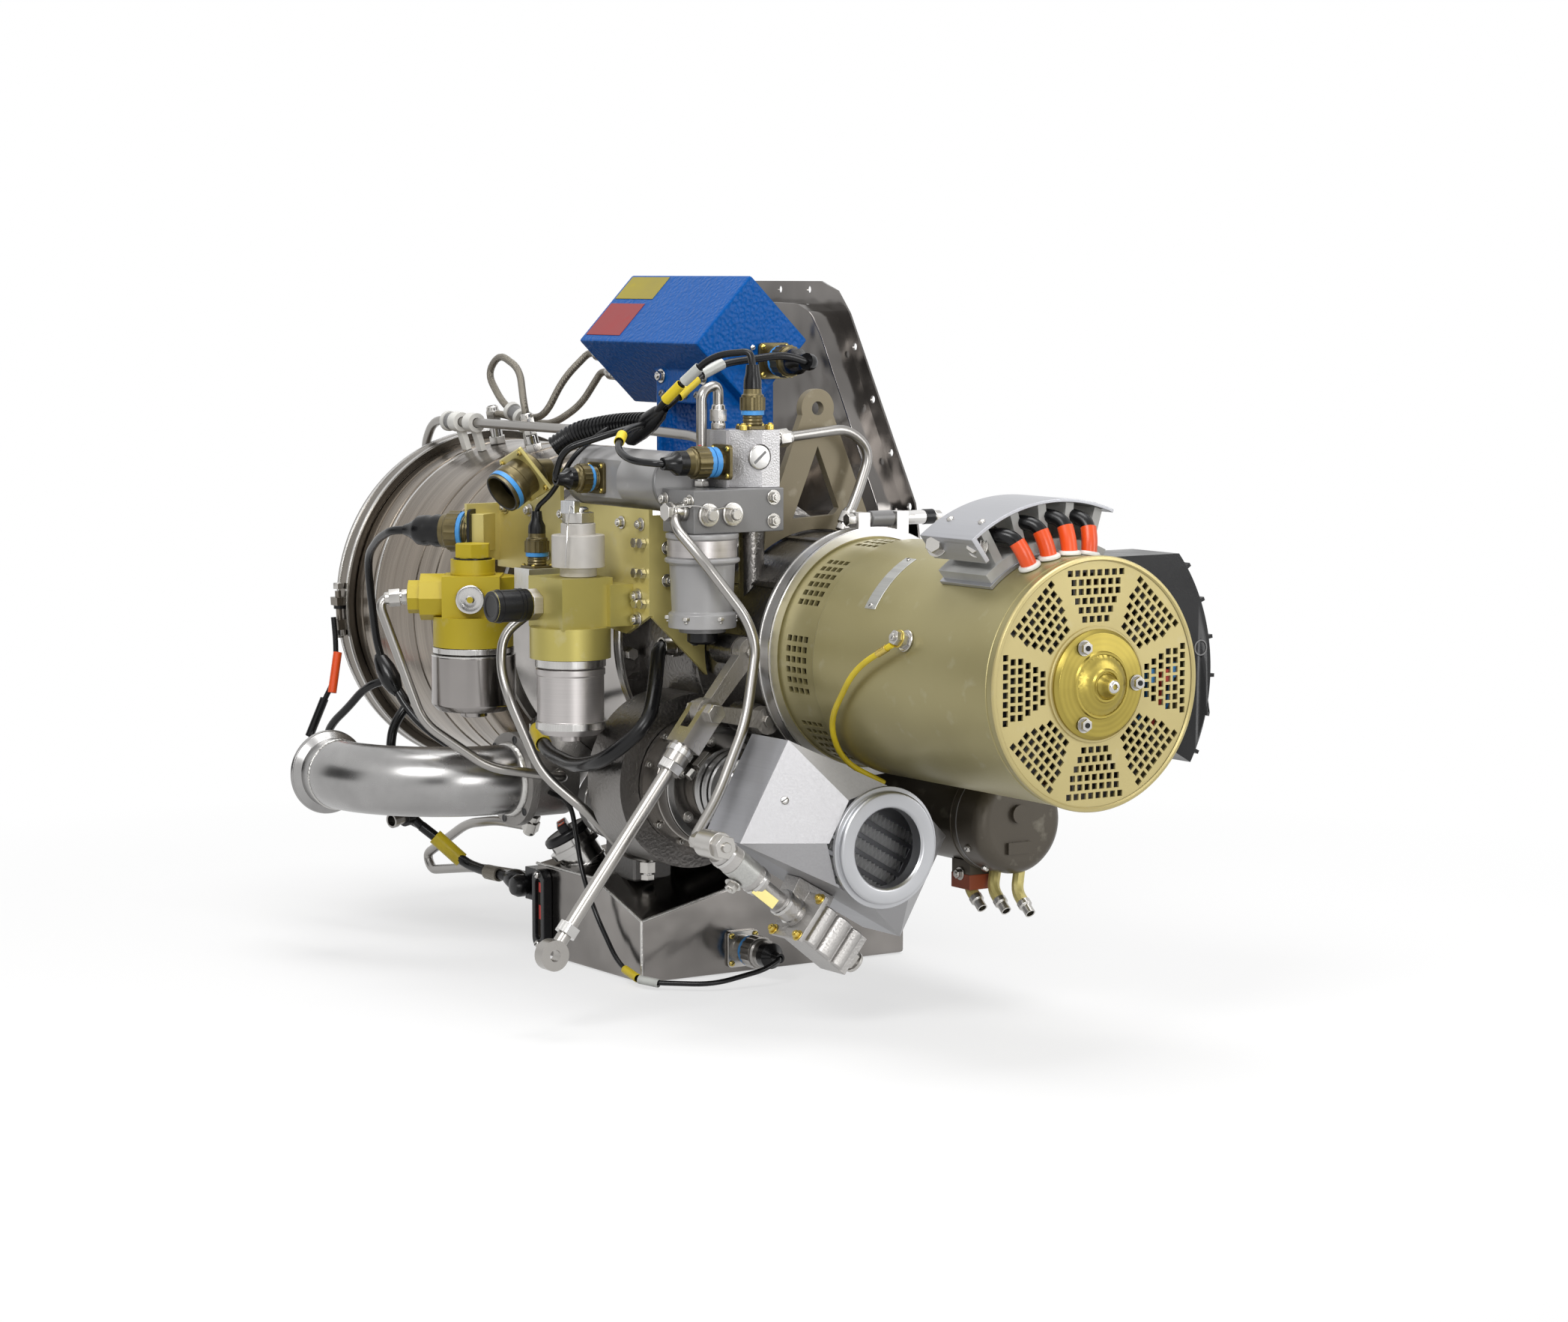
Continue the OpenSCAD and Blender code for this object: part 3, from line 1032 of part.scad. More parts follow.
pin_at = [-152, -45];
pin_r = 5;
wish_x = [ear_x + seat, ear_x + 12];
strut_x = (wish_x[0] + wish_x[1]) / 2;
strut_lean = -38;
function ear(i) = unit(ear_at[i]) * norm(ear_at[i]) * 0.96;
module arm(a, b, wa, wb) {
    n = unit([a[1] - b[1], b[0] - a[0]]);
    polygon([a + n * wa, b + n * wb, b - n * wb, a - n * wa]);
}
module strut_bracket() color("darkgray") difference() {
    union() {
        for (i = [0:1]) {
            translate([wish_x[0], 0, 0]) rotate([90, 0, 90]) linear_extrude(wish_x[1] - wish_x[0])
                arm(ear(i), pin_at, 8, 6);
            rod_x(wish_x[0], wish_x[1], ear(i), 12);
        }
        rod_x(wish_x[0], wish_x[1], pin_at, 12);
    }
    rod_x(wish_x[0] - cut, wish_x[1] + cut, pin_at, pin_r + running);
    for (i = [0:1]) rod_x(wish_x[0] - cut, wish_x[1] + cut, ear(i), 3.2);
    rod_x(wish_x[0] - cut, wish_x[1] + cut, [0, 0], flange_r + seat);
}
fork_in = (wish_x[1] - wish_x[0]) / 2 + running;
fork_out = fork_in + 7;
module strut() color("silver") translate([strut_x, pin_at[0], pin_at[1]]) rotate([strut_lean, 0, 0]) {
    rod_x(-fork_out - 3, fork_out + 3, [0, 0], pin_r);
    for (s = [-1, 1]) difference() {
        union() {
            translate([s * (fork_in + fork_out) / 2, 0, 0]) rotate([0, 90, 0])
                cylinder(h = 7, r = 10, center = true);
            translate([s * (fork_in + fork_out) / 2, 0, -11]) cube([7, 20, 22], center = true);
        }
        rod_x(-50, 50, [0, 0], pin_r - 1);
    }
    translate([-fork_out, -10, -36]) cube([2 * fork_out, 20, 15]);
    translate([0, 0, -52]) cylinder(h = 17, r = 11);
    translate([0, 0, -strut_len + 10]) cylinder(h = strut_len - 60, r = rod_r);
    translate([0, 0, -strut_len]) rotate([0, 90, 0]) difference() {
        cylinder(h = 12, r = 13, center = true);
        cylinder(h = 14, r = 5, center = true);
    }
}

// Bolt heads, plugs and screws
module fasteners() color("gainsboro") {
    flange_bolts() hex_head([gear_x + flange_t + seat, 0, 0], [1, 0, 0], bolt_w, bolt_h);
    for (a = [0:120:240]) rotate([a - 90, 0, 0]) hex_head([gen_x + 8, 0, screw_circle], [1, 0, 0], 9, 5);
    for (i = [0:1]) hex_head([wish_x[1] + seat, ear(i)[0], ear(i)[1]], [1, 0, 0], 10, 3);
    for (y = [-136, -112]) hex_head([manifold_high[0] + seat, y, pad_z + 16], [1, 0, 0], 12, 7);
    for (x = [oil_x + 42, neck_x - 4]) for (z = [40, 66, 92]) hex_head([x, face_y - seat, z], [0, -1, 0],
        8, 5);
}

exhaust_duct();
combustor_clamp();
combustor_casing();
combustor_liner();
turbine_wheel();
rotor_shaft();
impeller();
compressor_case();
inlet_plenum();
gearbox_housing();
lay_gear();
output_gear();
fan_gear();
cooling_fan();
fan_scroll();
cooler_bellows();
oil_cooler();
cooler_duct();
cooler_ring();
generator_clamp();
generator_housing();
generator_stator();
generator_rotor();
end_bell();
generator_screen();
hub_cover();
terminal_block();
terminal_cover();
terminal_leads();
ground_lead();
air_scoop();
starter_motor();
oil_tank();
filler_neck();
filler_cap();
sight_gauge();
bleed_valve();
bleed_duct();
filter_bracket();
fuel_filter_head();
fuel_filter_bowl();
oil_filter_head();
oil_filter_bowl();
pressure_switch();
fuel_control();
manifold_block();
valve_block();
fuel_pump();
lug_plate();
exciter_box();
ignition_leads();
connectors();
harness();
steel_tubes();
oil_hose();
regulator();
tube_clips();
strut_bracket();
strut();
fasteners();
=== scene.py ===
# %% [markdown]
# # A gas-turbine auxiliary power unit
# The unit is a small jet engine that drives a generator: a steel combustor drum at the back, a
# compressor and a gearbox in the middle, and an olive generator with a perforated end screen at
# the front. Pumps, filters, tubes and wires hang all round it. The solids come from CAD and stay
# where they are. This lesson gives every surface its finish, rounds the edges, and adds the small
# pieces that a drawing leaves out.

# %% Load the solids
import json
import math
from itertools import product

import bmesh
import bpy
from mathutils import Matrix, Vector


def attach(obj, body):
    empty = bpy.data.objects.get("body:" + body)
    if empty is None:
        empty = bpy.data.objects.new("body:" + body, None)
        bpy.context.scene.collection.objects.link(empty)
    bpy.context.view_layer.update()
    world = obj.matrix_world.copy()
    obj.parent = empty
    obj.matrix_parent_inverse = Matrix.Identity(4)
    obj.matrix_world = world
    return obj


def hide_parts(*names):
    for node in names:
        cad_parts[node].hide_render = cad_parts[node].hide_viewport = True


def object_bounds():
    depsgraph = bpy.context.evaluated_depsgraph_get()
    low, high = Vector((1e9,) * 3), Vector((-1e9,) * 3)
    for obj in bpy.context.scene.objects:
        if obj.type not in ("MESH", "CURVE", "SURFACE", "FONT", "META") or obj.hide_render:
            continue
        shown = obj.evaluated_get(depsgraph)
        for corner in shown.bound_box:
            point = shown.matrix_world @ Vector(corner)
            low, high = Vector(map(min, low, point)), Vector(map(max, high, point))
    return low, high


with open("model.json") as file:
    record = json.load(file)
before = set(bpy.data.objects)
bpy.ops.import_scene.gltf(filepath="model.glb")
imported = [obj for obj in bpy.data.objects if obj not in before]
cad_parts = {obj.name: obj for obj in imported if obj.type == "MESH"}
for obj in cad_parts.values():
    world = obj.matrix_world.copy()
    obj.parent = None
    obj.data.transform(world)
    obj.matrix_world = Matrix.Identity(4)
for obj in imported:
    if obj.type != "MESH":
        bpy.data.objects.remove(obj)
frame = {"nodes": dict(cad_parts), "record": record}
cad_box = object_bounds()
nodes = frame["nodes"]
MM = 0.001
print(len(nodes), "solids, box", [[round(v, 3) for v in corner] for corner in cad_box])

# %% [markdown]
# The camera stands where the photographer stood: in front of the generator, to its left, and a
# little above it. A long lens keeps the perspective calm. The focal length was measured in pixels
# of the photograph, so it is turned into millimetres on a 36 mm wide sensor.

# %% Camera
PHOTO_WIDTH = 2093
FOCAL_PIXELS = 5050
SENSOR_WIDTH = 36.0
camera_place = Vector((3.3944, -1.8391, 0.3245))
camera_turn = math.radians(56.5)
camera_drop = math.radians(5.9)

lens = bpy.data.cameras.new("photo_camera")
lens.sensor_width = SENSOR_WIDTH
lens.lens = SENSOR_WIDTH * FOCAL_PIXELS / PHOTO_WIDTH
camera = bpy.data.objects.new("photo_camera", lens)
camera.location = camera_place
camera.rotation_euler = (math.pi / 2 - camera_drop, 0, camera_turn)
scene = bpy.context.scene
scene.collection.objects.link(camera)
scene.camera = camera
scene.view_settings.view_transform = "Standard"
print("lens", round(lens.lens, 1), "mm")

# %% [markdown]
# Every finish is a small network of shader nodes. Clicking them together by hand is slow, so two
# classes write them as sums: a `Wire` is a socket that can be added, multiplied and compared, and
# a `Finish` is a material with one method that makes any node. `1 - mask * 0.4` then becomes two
# Math nodes by itself.

# %% Shader sums
class Wire:
    """A socket of a finish that takes part in Python sums."""

    def __init__(self, finish, socket):
        self.finish, self.socket = finish, socket

    def math(self, operation, *values):
        return self.finish.node("ShaderNodeMath", {"operation": operation}, dict(enumerate(values)))

    def __add__(self, other):
        return self.math("ADD", self, other)

    def __sub__(self, other):
        return self.math("SUBTRACT", self, other)

    def __rsub__(self, other):
        return self.math("SUBTRACT", other, self)

    def __mul__(self, other):
        return self.math("MULTIPLY", self, other)

    __radd__ = __add__
    __rmul__ = __mul__


class Finish:
    """A material whose nodes are made by one method."""

    def __init__(self, name):
        self.name = name
        self.material = bpy.data.materials.new(name)
        self.material.use_nodes = True
        self.tree = self.material.node_tree
        self.shader = self.tree.nodes["Principled BSDF"]
        self.place = self.node("ShaderNodeTexCoord", out="Object")

    def node(self, kind, settings=None, sockets=None, out=0):
        made = self.tree.nodes.new(kind)
        for key, value in (settings or {}).items():
            setattr(made, key, value)
        for key, value in (sockets or {}).items():
            if isinstance(value, Wire):
                self.tree.links.new(value.socket, made.inputs[key])
            else:
                made.inputs[key].default_value = value
        return Wire(self, made.outputs[out])

    def axes(self):
        return [self.node("ShaderNodeSeparateXYZ", None, {0: self.place}, out=k) for k in range(3)]

    def stretched(self, scale):
        return self.node("ShaderNodeMapping", None, {"Vector": self.place, "Scale": scale})

    def noise(self, scale, detail=3.0, where=None, rough=0.5):
        return self.node("ShaderNodeTexNoise", None, {
            "Vector": where or self.place, "Scale": scale, "Detail": detail, "Roughness": rough})

    def spread(self, wire, low=0.3, high=0.7):
        """Stretches the middle of a noise to the whole of 0..1."""
        return self.node("ShaderNodeMapRange", None, {0: wire, 1: low, 2: high})

    def mixed(self, factor, first, second):
        return self.node("ShaderNodeMix", {"data_type": "RGBA"},
                         {0: factor, 6: first, 7: second}, out=2)

    def toned(self, factor, colour, dark, light):
        """One colour that goes from a darker to a lighter tone."""
        return self.mixed(factor, dimmed(colour, dark), dimmed(colour, light))

    def bump(self, height, depth):
        """A depth in millimetres."""
        self.set(Normal=self.node("ShaderNodeBump", None, {
            "Height": height, "Distance": depth * MM, "Strength": 1.0}))

    def set(self, **sockets):
        for key, value in sockets.items():
            socket = self.shader.inputs[key.replace("_", " ")]
            if isinstance(value, Wire):
                self.tree.links.new(value.socket, socket)
            else:
                socket.default_value = value
        return self


def shade(r, g, b):
    return (r, g, b, 1.0)


def dimmed(colour, k):
    return shade(*(part * k for part in colour))


print("shader sums ready")

# %% [markdown]
# The photograph is a cut-out on white, lit by big soft lamps. A white world shows to the camera
# and in the metal, while a greyer one lights the object, so that a colour comes out about as it
# is written. The floor is pale near the unit, where its shadow falls, and fades to the white of
# the background.

# %% Studio
WORLD_LIGHT = 0.28
FLOOR_SIZE = 40.0
FADE_START, FADE_END = 0.5, 1.25
SHADOW_WASH = 0.62


def studio_world():
    world = bpy.data.worlds.new("studio")
    scene.world = world
    world.use_nodes = True
    tree = world.node_tree
    back = tree.nodes["Background"]
    back.inputs["Color"].default_value = shade(1, 1, 1)
    path = tree.nodes.new("ShaderNodeLightPath")
    seen = path.outputs["Is Camera Ray"]
    for other in ("Is Glossy Ray", "Is Transmission Ray"):
        either = tree.nodes.new("ShaderNodeMath")
        either.operation = "MAXIMUM"
        tree.links.new(seen, either.inputs[0])
        tree.links.new(path.outputs[other], either.inputs[1])
        seen = either.outputs[0]
    level = tree.nodes.new("ShaderNodeMapRange")
    level.inputs["To Min"].default_value = WORLD_LIGHT
    tree.links.new(seen, level.inputs["Value"])
    tree.links.new(level.outputs[0], back.inputs["Strength"])


def staged(name, bm, surface):
    """Makes an object of the studio, which is no part of the unit."""
    mesh = bpy.data.meshes.new(name)
    bm.to_mesh(mesh)
    bm.free()
    mesh.materials.append(surface.material)
    thing = bpy.data.objects.new(name, mesh)
    scene.collection.objects.link(thing)
    return thing


def studio_floor():
    bm = bmesh.new()
    bmesh.ops.create_grid(bm, x_segments=1, y_segments=1, size=FLOOR_SIZE / 2)
    middle = (cad_box[0] + cad_box[1]) / 2
    bmesh.ops.translate(bm, verts=bm.verts, vec=(middle.x, middle.y, cad_box[0].z - 1 * MM))
    pale = Finish("pale_floor")
    x, y, _ = pale.axes()
    square = (x - middle.x) * (x - middle.x) + (y - middle.y) * (y - middle.y)
    away = square.math("SQRT", square)
    path = pale.tree.nodes.new("ShaderNodeLightPath")
    seen = Wire(pale, path.outputs["Is Camera Ray"]) + Wire(pale, path.outputs["Is Glossy Ray"])
    pale.set(Base_Color=pale.mixed(seen, shade(0.4, 0.4, 0.4), shade(0.9, 0.9, 0.9)), Roughness=0.7)
    glow = pale.tree.nodes.new("ShaderNodeEmission")
    both = pale.tree.nodes.new("ShaderNodeMixShader")
    white = (pale.spread(away, FADE_START, FADE_END) * (1 - SHADOW_WASH) + SHADOW_WASH) * seen
    pale.tree.links.new(white.socket, both.inputs[0])
    pale.tree.links.new(pale.shader.outputs[0], both.inputs[1])
    pale.tree.links.new(glow.outputs[0], both.inputs[2])
    pale.tree.links.new(both.outputs[0], pale.tree.nodes["Material Output"].inputs["Surface"])
    staged("floor", bm, pale)


def soft_lamp(name, place, aim, size, watts):
    data = bpy.data.lights.new(name, "AREA")
    data.shape = "RECTANGLE"
    data.size, data.size_y = size
    data.energy = watts
    lamp = bpy.data.objects.new(name, data)
    lamp.location = place
    lamp.rotation_euler = (Vector(aim) - Vector(place)).to_track_quat("-Z", "Y").to_euler()
    scene.collection.objects.link(lamp)


def dark_card(name, place, size):
    """A black card outside the picture. Metal shows it as the dark side of a highlight."""
    bm = bmesh.new()
    bmesh.ops.create_grid(bm, x_segments=1, y_segments=1, size=0.5)
    bmesh.ops.scale(bm, verts=bm.verts, vec=(*size, 1))
    aim = (Vector(unit_middle) - Vector(place)).to_track_quat("Z", "Y").to_matrix().to_4x4()
    bm.transform(Matrix.Translation(place) @ aim)
    staged(name, bm, card_black).visible_camera = False


unit_middle = (0.55, 0.0, 0.0)
card_black = Finish("card_black").set(Base_Color=shade(0.03, 0.03, 0.03), Roughness=0.9)
studio_world()
studio_floor()
dark_card("front_card", (5.0, -3.0, 0.9), (3.2, 2.0))
dark_card("left_card", (-1.2, -3.4, 0.7), (2.4, 1.7))
soft_lamp("key_box", (2.2, -2.6, 2.4), unit_middle, (1.6, 1.2), 70)
soft_lamp("top_box", (0.5, 0.2, 2.8), unit_middle, (2.2, 1.4), 56)
soft_lamp("front_box", (3.7, -0.9, 0.5), unit_middle, (1.0, 1.0), 26)
soft_lamp("side_box", (3.0, 1.8, 0.9), unit_middle, (0.6, 1.8), 22)
print("studio ready")

# %% [markdown]
# Most of the unit is metal, and it differs by how it was made. Castings have a sandy grain and
# cloudy tone. Sheet and turned parts carry fine lines in the direction of the brush or the lathe:
# a noise that is squeezed across that direction and drawn out along it gives them. All patterns
# read Object coordinates, which are metres here, so a scale of 500 is a grain of about 2 mm.

# %% Metal finishes
ROUND_X = (900, 5, 5)
ROUND_Z = (5, 5, 900)
ALONG_X = (5, 700, 700)
GROOVE_RATE = 1500  # radians for each metre of radius


def cast_metal(name, colour, rough=0.5, grain=330, metallic=0.8):
    f = Finish(name)
    cloud = f.spread(f.noise(11, 4))
    speck = f.noise(grain, 3)
    f.set(Base_Color=f.toned(cloud, colour, 0.72, 1.12), Metallic=metallic,
          Roughness=rough + (cloud - 0.5) * 0.18)
    f.bump(speck, 0.5)
    return f


def lined_metal(name, colour, lines=ROUND_X, rough=0.28, contrast=0.3, metallic=1.0):
    f = Finish(name)
    streak = f.spread(f.noise(1, 4, f.stretched(lines), 0.6))
    cloud = f.spread(f.noise(14, 3))
    tone = streak * 0.7 + cloud * 0.3
    f.set(Base_Color=f.toned(tone, colour, 1 - contrast, 1 + contrast / 2), Metallic=metallic,
          Roughness=rough + (streak - 0.5) * 0.14)
    f.bump(streak, 0.012)
    return f


def polished_metal(name, colour, rough=0.16, cloudy=0.05, scale=26, wavy=0.0):
    f = Finish(name)
    smear = f.spread(f.noise(scale, 3), 0.25, 0.8)
    f.set(Base_Color=f.toned(smear, colour, 1 - cloudy, 1 + cloudy), Metallic=1.0,
          Roughness=rough + (smear - 0.5) * 0.06)
    if wavy:
        f.bump(smear, wavy)
    return f


def drum_steel(name):
    """Spun sheet, darkened by heat in rings, with the marks of rolling."""
    f = Finish(name)
    ring = f.spread(f.noise(1, 4, f.stretched((44, 1.2, 1.2)), 0.55), 0.34, 0.68)
    line = f.spread(f.noise(1, 3, f.stretched((420, 6, 6))))
    stain = f.spread(f.noise(7, 4), 0.45, 0.75)
    steel = f.mixed(ring * 0.75 + line * 0.25, shade(0.105, 0.089, 0.072),
                    shade(0.36, 0.318, 0.268))
    f.set(Base_Color=f.mixed(stain * 0.3, steel, shade(0.17, 0.12, 0.08)), Metallic=1.0,
          Roughness=0.2 + line * 0.06 + stain * 0.06)
    f.bump(ring, 0.3)
    return f


def turned_face(name, colour):
    """A face turned on the lathe: fine rings round the rotor axis."""
    f = Finish(name)
    _, y, z = f.axes()
    square = y * y + z * z
    radius = square.math("SQRT", square)
    groove = radius.math("SINE", radius * GROOVE_RATE) * 0.5 + 0.5
    cloud = f.spread(f.noise(20, 3))
    f.set(Base_Color=f.toned(groove * 0.32 + cloud * 0.5, colour, 0.78, 1.1), Metallic=0.9,
          Roughness=0.33 + groove * 0.03)
    return f


print("brushed lines are about", round(1000 / ROUND_X[0], 1), "mm apart")

# %% [markdown]
# Aluminium castings of this kind are treated with chromate, which leaves a satin skin from bright
# yellow to olive, with rainbow clouds where the bath ran unevenly. A half-metallic shader with
# two close colours, mixed by a slow noise, looks like it. The igniter box has a hammered enamel:
# a cell pattern gives its bump and a part of its tone.

# %% Paint and plating
WEAVE_RATE = 2600  # radians for each metre


def chromate(name, colour, cloudy, rough=0.36, metallic=0.5, scale=9):
    f = Finish(name)
    cloud = f.spread(f.noise(scale, 4), 0.34, 0.68)
    fine = f.noise(900, 2)
    rub = f.spread(f.noise(55, 4), 0.62, 0.78)
    skin = f.mixed(cloud, shade(*colour), shade(*cloudy))
    f.set(Base_Color=f.mixed(rub * 0.25, skin, shade(0.55, 0.52, 0.42)), Metallic=metallic,
          Roughness=rough + (cloud - 0.5) * 0.1 + (fine - 0.5) * 0.1)
    f.bump(fine, 0.04)
    return f


def enamel(name, colour, rough=0.36, coat=0.25):
    f = Finish(name)
    cloud = f.spread(f.noise(16, 3))
    scuff = f.spread(f.noise(70, 5), 0.64, 0.8)
    paint = f.toned(cloud, colour, 0.86, 1.1)
    f.set(Base_Color=f.mixed(scuff * 0.3, paint, dimmed(colour, 1.9)), Coat_Weight=coat,
          Roughness=rough + (cloud - 0.5) * 0.12 + scuff * 0.15, Coat_Roughness=0.2)
    f.bump(f.noise(600, 2), 0.06)
    return f


def hammered_enamel(name, colour):
    f = Finish(name)
    cells = f.node("ShaderNodeTexVoronoi", {"feature": "SMOOTH_F1"},
                   {"Vector": f.place, "Scale": 300.0})
    cloud = f.spread(f.noise(10, 3))
    f.set(Base_Color=f.toned(cells * 0.5 + cloud * 0.3, colour, 1.15, 0.8), Roughness=0.26,
          Specular_IOR_Level=0.1)
    f.bump(cells, 0.55)
    return f


def plastic(name, colour, rough=0.42, grain=800, depth=0.05, shine=0.5):
    f = Finish(name)
    cloud = f.spread(f.noise(24, 3))
    f.set(Base_Color=f.toned(cloud, colour, 0.8, 1.15), Roughness=rough + (cloud - 0.5) * 0.14,
          Specular_IOR_Level=shine)
    f.bump(f.noise(grain, 2), depth)
    return f


def braided(name, dark, bright):
    """Two sets of diagonal wires that cross each other."""
    f = Finish(name)
    x, y, z = f.axes()
    one = x.math("SINE", (x + y + z) * WEAVE_RATE)
    two = x.math("SINE", (x - y - z) * WEAVE_RATE)
    weave = one * two * 0.5 + 0.5
    f.set(Base_Color=f.mixed(weave, shade(*dark), shade(*bright)), Metallic=0.85,
          Roughness=0.42 - weave * 0.1)
    f.bump(weave, 0.4)
    return f


print("paint and plating ready")

# %% [markdown]
# One finish for each kind of surface, named as a workshop would call it. The same finish goes on
# every piece that is made that way, so the set stays small and the pieces look as if they came
# from the same shop.

# %% The set of finishes
finish = {f.name: f for f in (
    drum_steel("drum_steel"),
    lined_metal("hot_steel", (0.30, 0.27, 0.24), rough=0.4, contrast=0.45),
    lined_metal("turned_steel", (0.56, 0.55, 0.535), rough=0.24, contrast=0.12),
    lined_metal("strip_steel", (0.40, 0.39, 0.375), rough=0.3, contrast=0.4),
    lined_metal("bronzed_steel", (0.19, 0.17, 0.145), rough=0.28, contrast=0.3),
    polished_metal("tank_steel", (0.25, 0.235, 0.222), rough=0.2, cloudy=0.5, scale=8, wavy=4),
    polished_metal("pan_steel", (0.168, 0.158, 0.15), rough=0.15, cloudy=0.6, scale=7, wavy=5),
    lined_metal("turned_alloy", (0.60, 0.605, 0.615), rough=0.3, contrast=0.16),
    lined_metal("cover_alloy", (0.39, 0.394, 0.415), lines=ALONG_X, rough=0.36, contrast=0.1,
                metallic=0.7),
    lined_metal("plain_strip", (0.50, 0.50, 0.48), lines=ALONG_X, rough=0.4, contrast=0.2),
    lined_metal("bowl_alloy", (0.50, 0.475, 0.465), lines=ROUND_Z, rough=0.36, contrast=0.12,
                metallic=0.85),
    polished_metal("dark_bowl", (0.30, 0.283, 0.272), rough=0.2),
    # Pale alloy, painted lighter still: painted light on fins that lie in the cooler's shade.
    lined_metal("fin_alloy_painted_light", (0.92, 0.92, 0.92), rough=0.45, contrast=0.1, metallic=0.2),
    lined_metal("folded_sheet", (0.365, 0.361, 0.37), lines=ALONG_X, rough=0.4, contrast=0.1,
                metallic=0.3),
    cast_metal("milled_block", (0.62, 0.61, 0.62), rough=0.34, grain=700, metallic=0.6),
    chromate("brush_red", (0.30, 0.06, 0.02), (0.22, 0.05, 0.02), rough=0.45, metallic=0.0),
    polished_metal("bright_steel", (0.45, 0.44, 0.425)),
    polished_metal("tube_steel", (0.32, 0.308, 0.292), rough=0.3),
    polished_metal("plated_steel", (0.50, 0.485, 0.46), rough=0.28),
    polished_metal("duct_steel", (0.345, 0.34, 0.335), rough=0.27, cloudy=0.15),
    cast_metal("grey_casting", (0.20, 0.19, 0.18), rough=0.28, metallic=0.95),
    polished_metal("ring_alloy", (0.46, 0.465, 0.48), rough=0.36),
    polished_metal("case_steel", (0.38, 0.363, 0.347), rough=0.2, cloudy=0.4, scale=12),
    polished_metal("band_alloy", (0.70, 0.69, 0.68), rough=0.34),
    polished_metal("scroll_alloy", (0.30, 0.283, 0.265), rough=0.24, cloudy=0.35, scale=16),
    cast_metal("dark_casting", (0.15, 0.145, 0.14), rough=0.5),
    cast_metal("pale_casting", (0.48, 0.465, 0.45), rough=0.42, grain=480),
    cast_metal("valve_casting", (0.36, 0.345, 0.33), rough=0.44, grain=900),
    # Real weld beads, drawn lighter than the steel round them: partly a painted highlight.
    cast_metal("weld_bead_and_highlight", (0.55, 0.54, 0.52), rough=0.26, grain=420, metallic=1.0),
    polished_metal("strut_steel", (0.36, 0.345, 0.325), rough=0.28),
    cast_metal("forging", (0.34, 0.32, 0.295), rough=0.4, grain=420),
    chromate("generator_olive", (0.300, 0.262, 0.118), (0.345, 0.305, 0.150)),
    chromate("screen_olive", (0.50, 0.42, 0.19), (0.44, 0.37, 0.165), rough=0.4),
    turned_face("hub_gold", (0.385, 0.305, 0.068)),
    chromate("fuel_yellow", (0.50, 0.385, 0.012), (0.43, 0.33, 0.014), rough=0.5, metallic=0.06),
    chromate("oil_olive", (0.50, 0.43, 0.125), (0.42, 0.36, 0.10), rough=0.38),
    chromate("bracket_olive", (0.62, 0.535, 0.20), (0.53, 0.455, 0.165), rough=0.36,
             metallic=0.35, scale=14),
    chromate("plug_olive", (0.10, 0.08, 0.035), (0.15, 0.12, 0.055), rough=0.34, metallic=0.7,
             scale=60),
    chromate("lug_tan", (0.17, 0.142, 0.088), (0.20, 0.168, 0.105), rough=0.4, metallic=0.3),
    chromate("starter_brown", (0.078, 0.066, 0.05), (0.098, 0.084, 0.064), rough=0.38,
             metallic=0.4),
    chromate("gilt", (0.62, 0.46, 0.10), (0.5, 0.4, 0.12), rough=0.3, metallic=0.9, scale=40),
    enamel("grey_enamel", (0.34, 0.335, 0.335)),
    enamel("dark_enamel", (0.17, 0.168, 0.168)),
    hammered_enamel("blue_enamel", (0.002, 0.086, 0.34)),
    enamel("plate_yellow", (0.29, 0.235, 0.014), rough=0.5, coat=0.1),
    enamel("plate_red", (0.25, 0.016, 0.018), rough=0.5, coat=0.1),
    plastic("black_plastic", (0.006, 0.006, 0.0068), rough=0.28, shine=0.3),
    plastic("black_rubber", (0.005, 0.005, 0.0055), rough=0.26, grain=300, depth=0.06, shine=0.32),
    plastic("white_plastic", (0.74, 0.73, 0.69), rough=0.36),
    plastic("switch_white", (0.53, 0.505, 0.47), rough=0.4),
    plastic("pale_post", (0.40, 0.40, 0.385), rough=0.5),
    plastic("clear_sleeve", (0.50, 0.51, 0.48), rough=0.25),
    plastic("yellow_sleeve", (0.72, 0.55, 0.02), rough=0.4),
    plastic("orange_boot", (0.80, 0.085, 0.010), rough=0.34),
    plastic("red_mark", (0.62, 0.03, 0.02), rough=0.4),
    plastic("blue_band", (0.06, 0.30, 0.70), rough=0.4),
    plastic("smoked_glass", (0.035, 0.028, 0.022), rough=0.12, depth=0.0),
    lined_metal("copper_winding", (0.33, 0.14, 0.06), lines=ALONG_X, rough=0.45, contrast=0.5,
                metallic=0.7),
    braided("braid", (0.075, 0.068, 0.055), (0.34, 0.31, 0.26)),
)}
print(len(finish), "finishes")

# %% [markdown]
# The CAD solids have knife edges. Real castings and plates don't: their edges catch a thin line of
# light, and that is what makes metal look solid. So each visible solid is copied, its loose
# triangles are merged, flat fields are joined, and its sharp edges get a small bevel. The copy
# then stands for the solid.

# %% Rounded copies of the solids
SHARP = math.radians(34)
SAME_PLANE = math.radians(1)
SAME_SPOT = 1e-6
record = frame["record"]
slots = {part["node"]: part["material_slot"] for part in record["subparts"]}
bodies_of = {node: body for body, members in record["behaviour"]["bodies"].items()
             for node in members}


def bevel(bm, edges, width, segments):
    bmesh.ops.bevel(bm, geom=edges, offset=width, offset_type="OFFSET", segments=segments,
                    profile=0.5, affect="EDGES", clamp_overlap=True, material=-1)


def sharp_edges(bm, fold=SHARP):
    return [e for e in bm.edges if e.is_manifold and e.calc_face_angle(0) > fold]


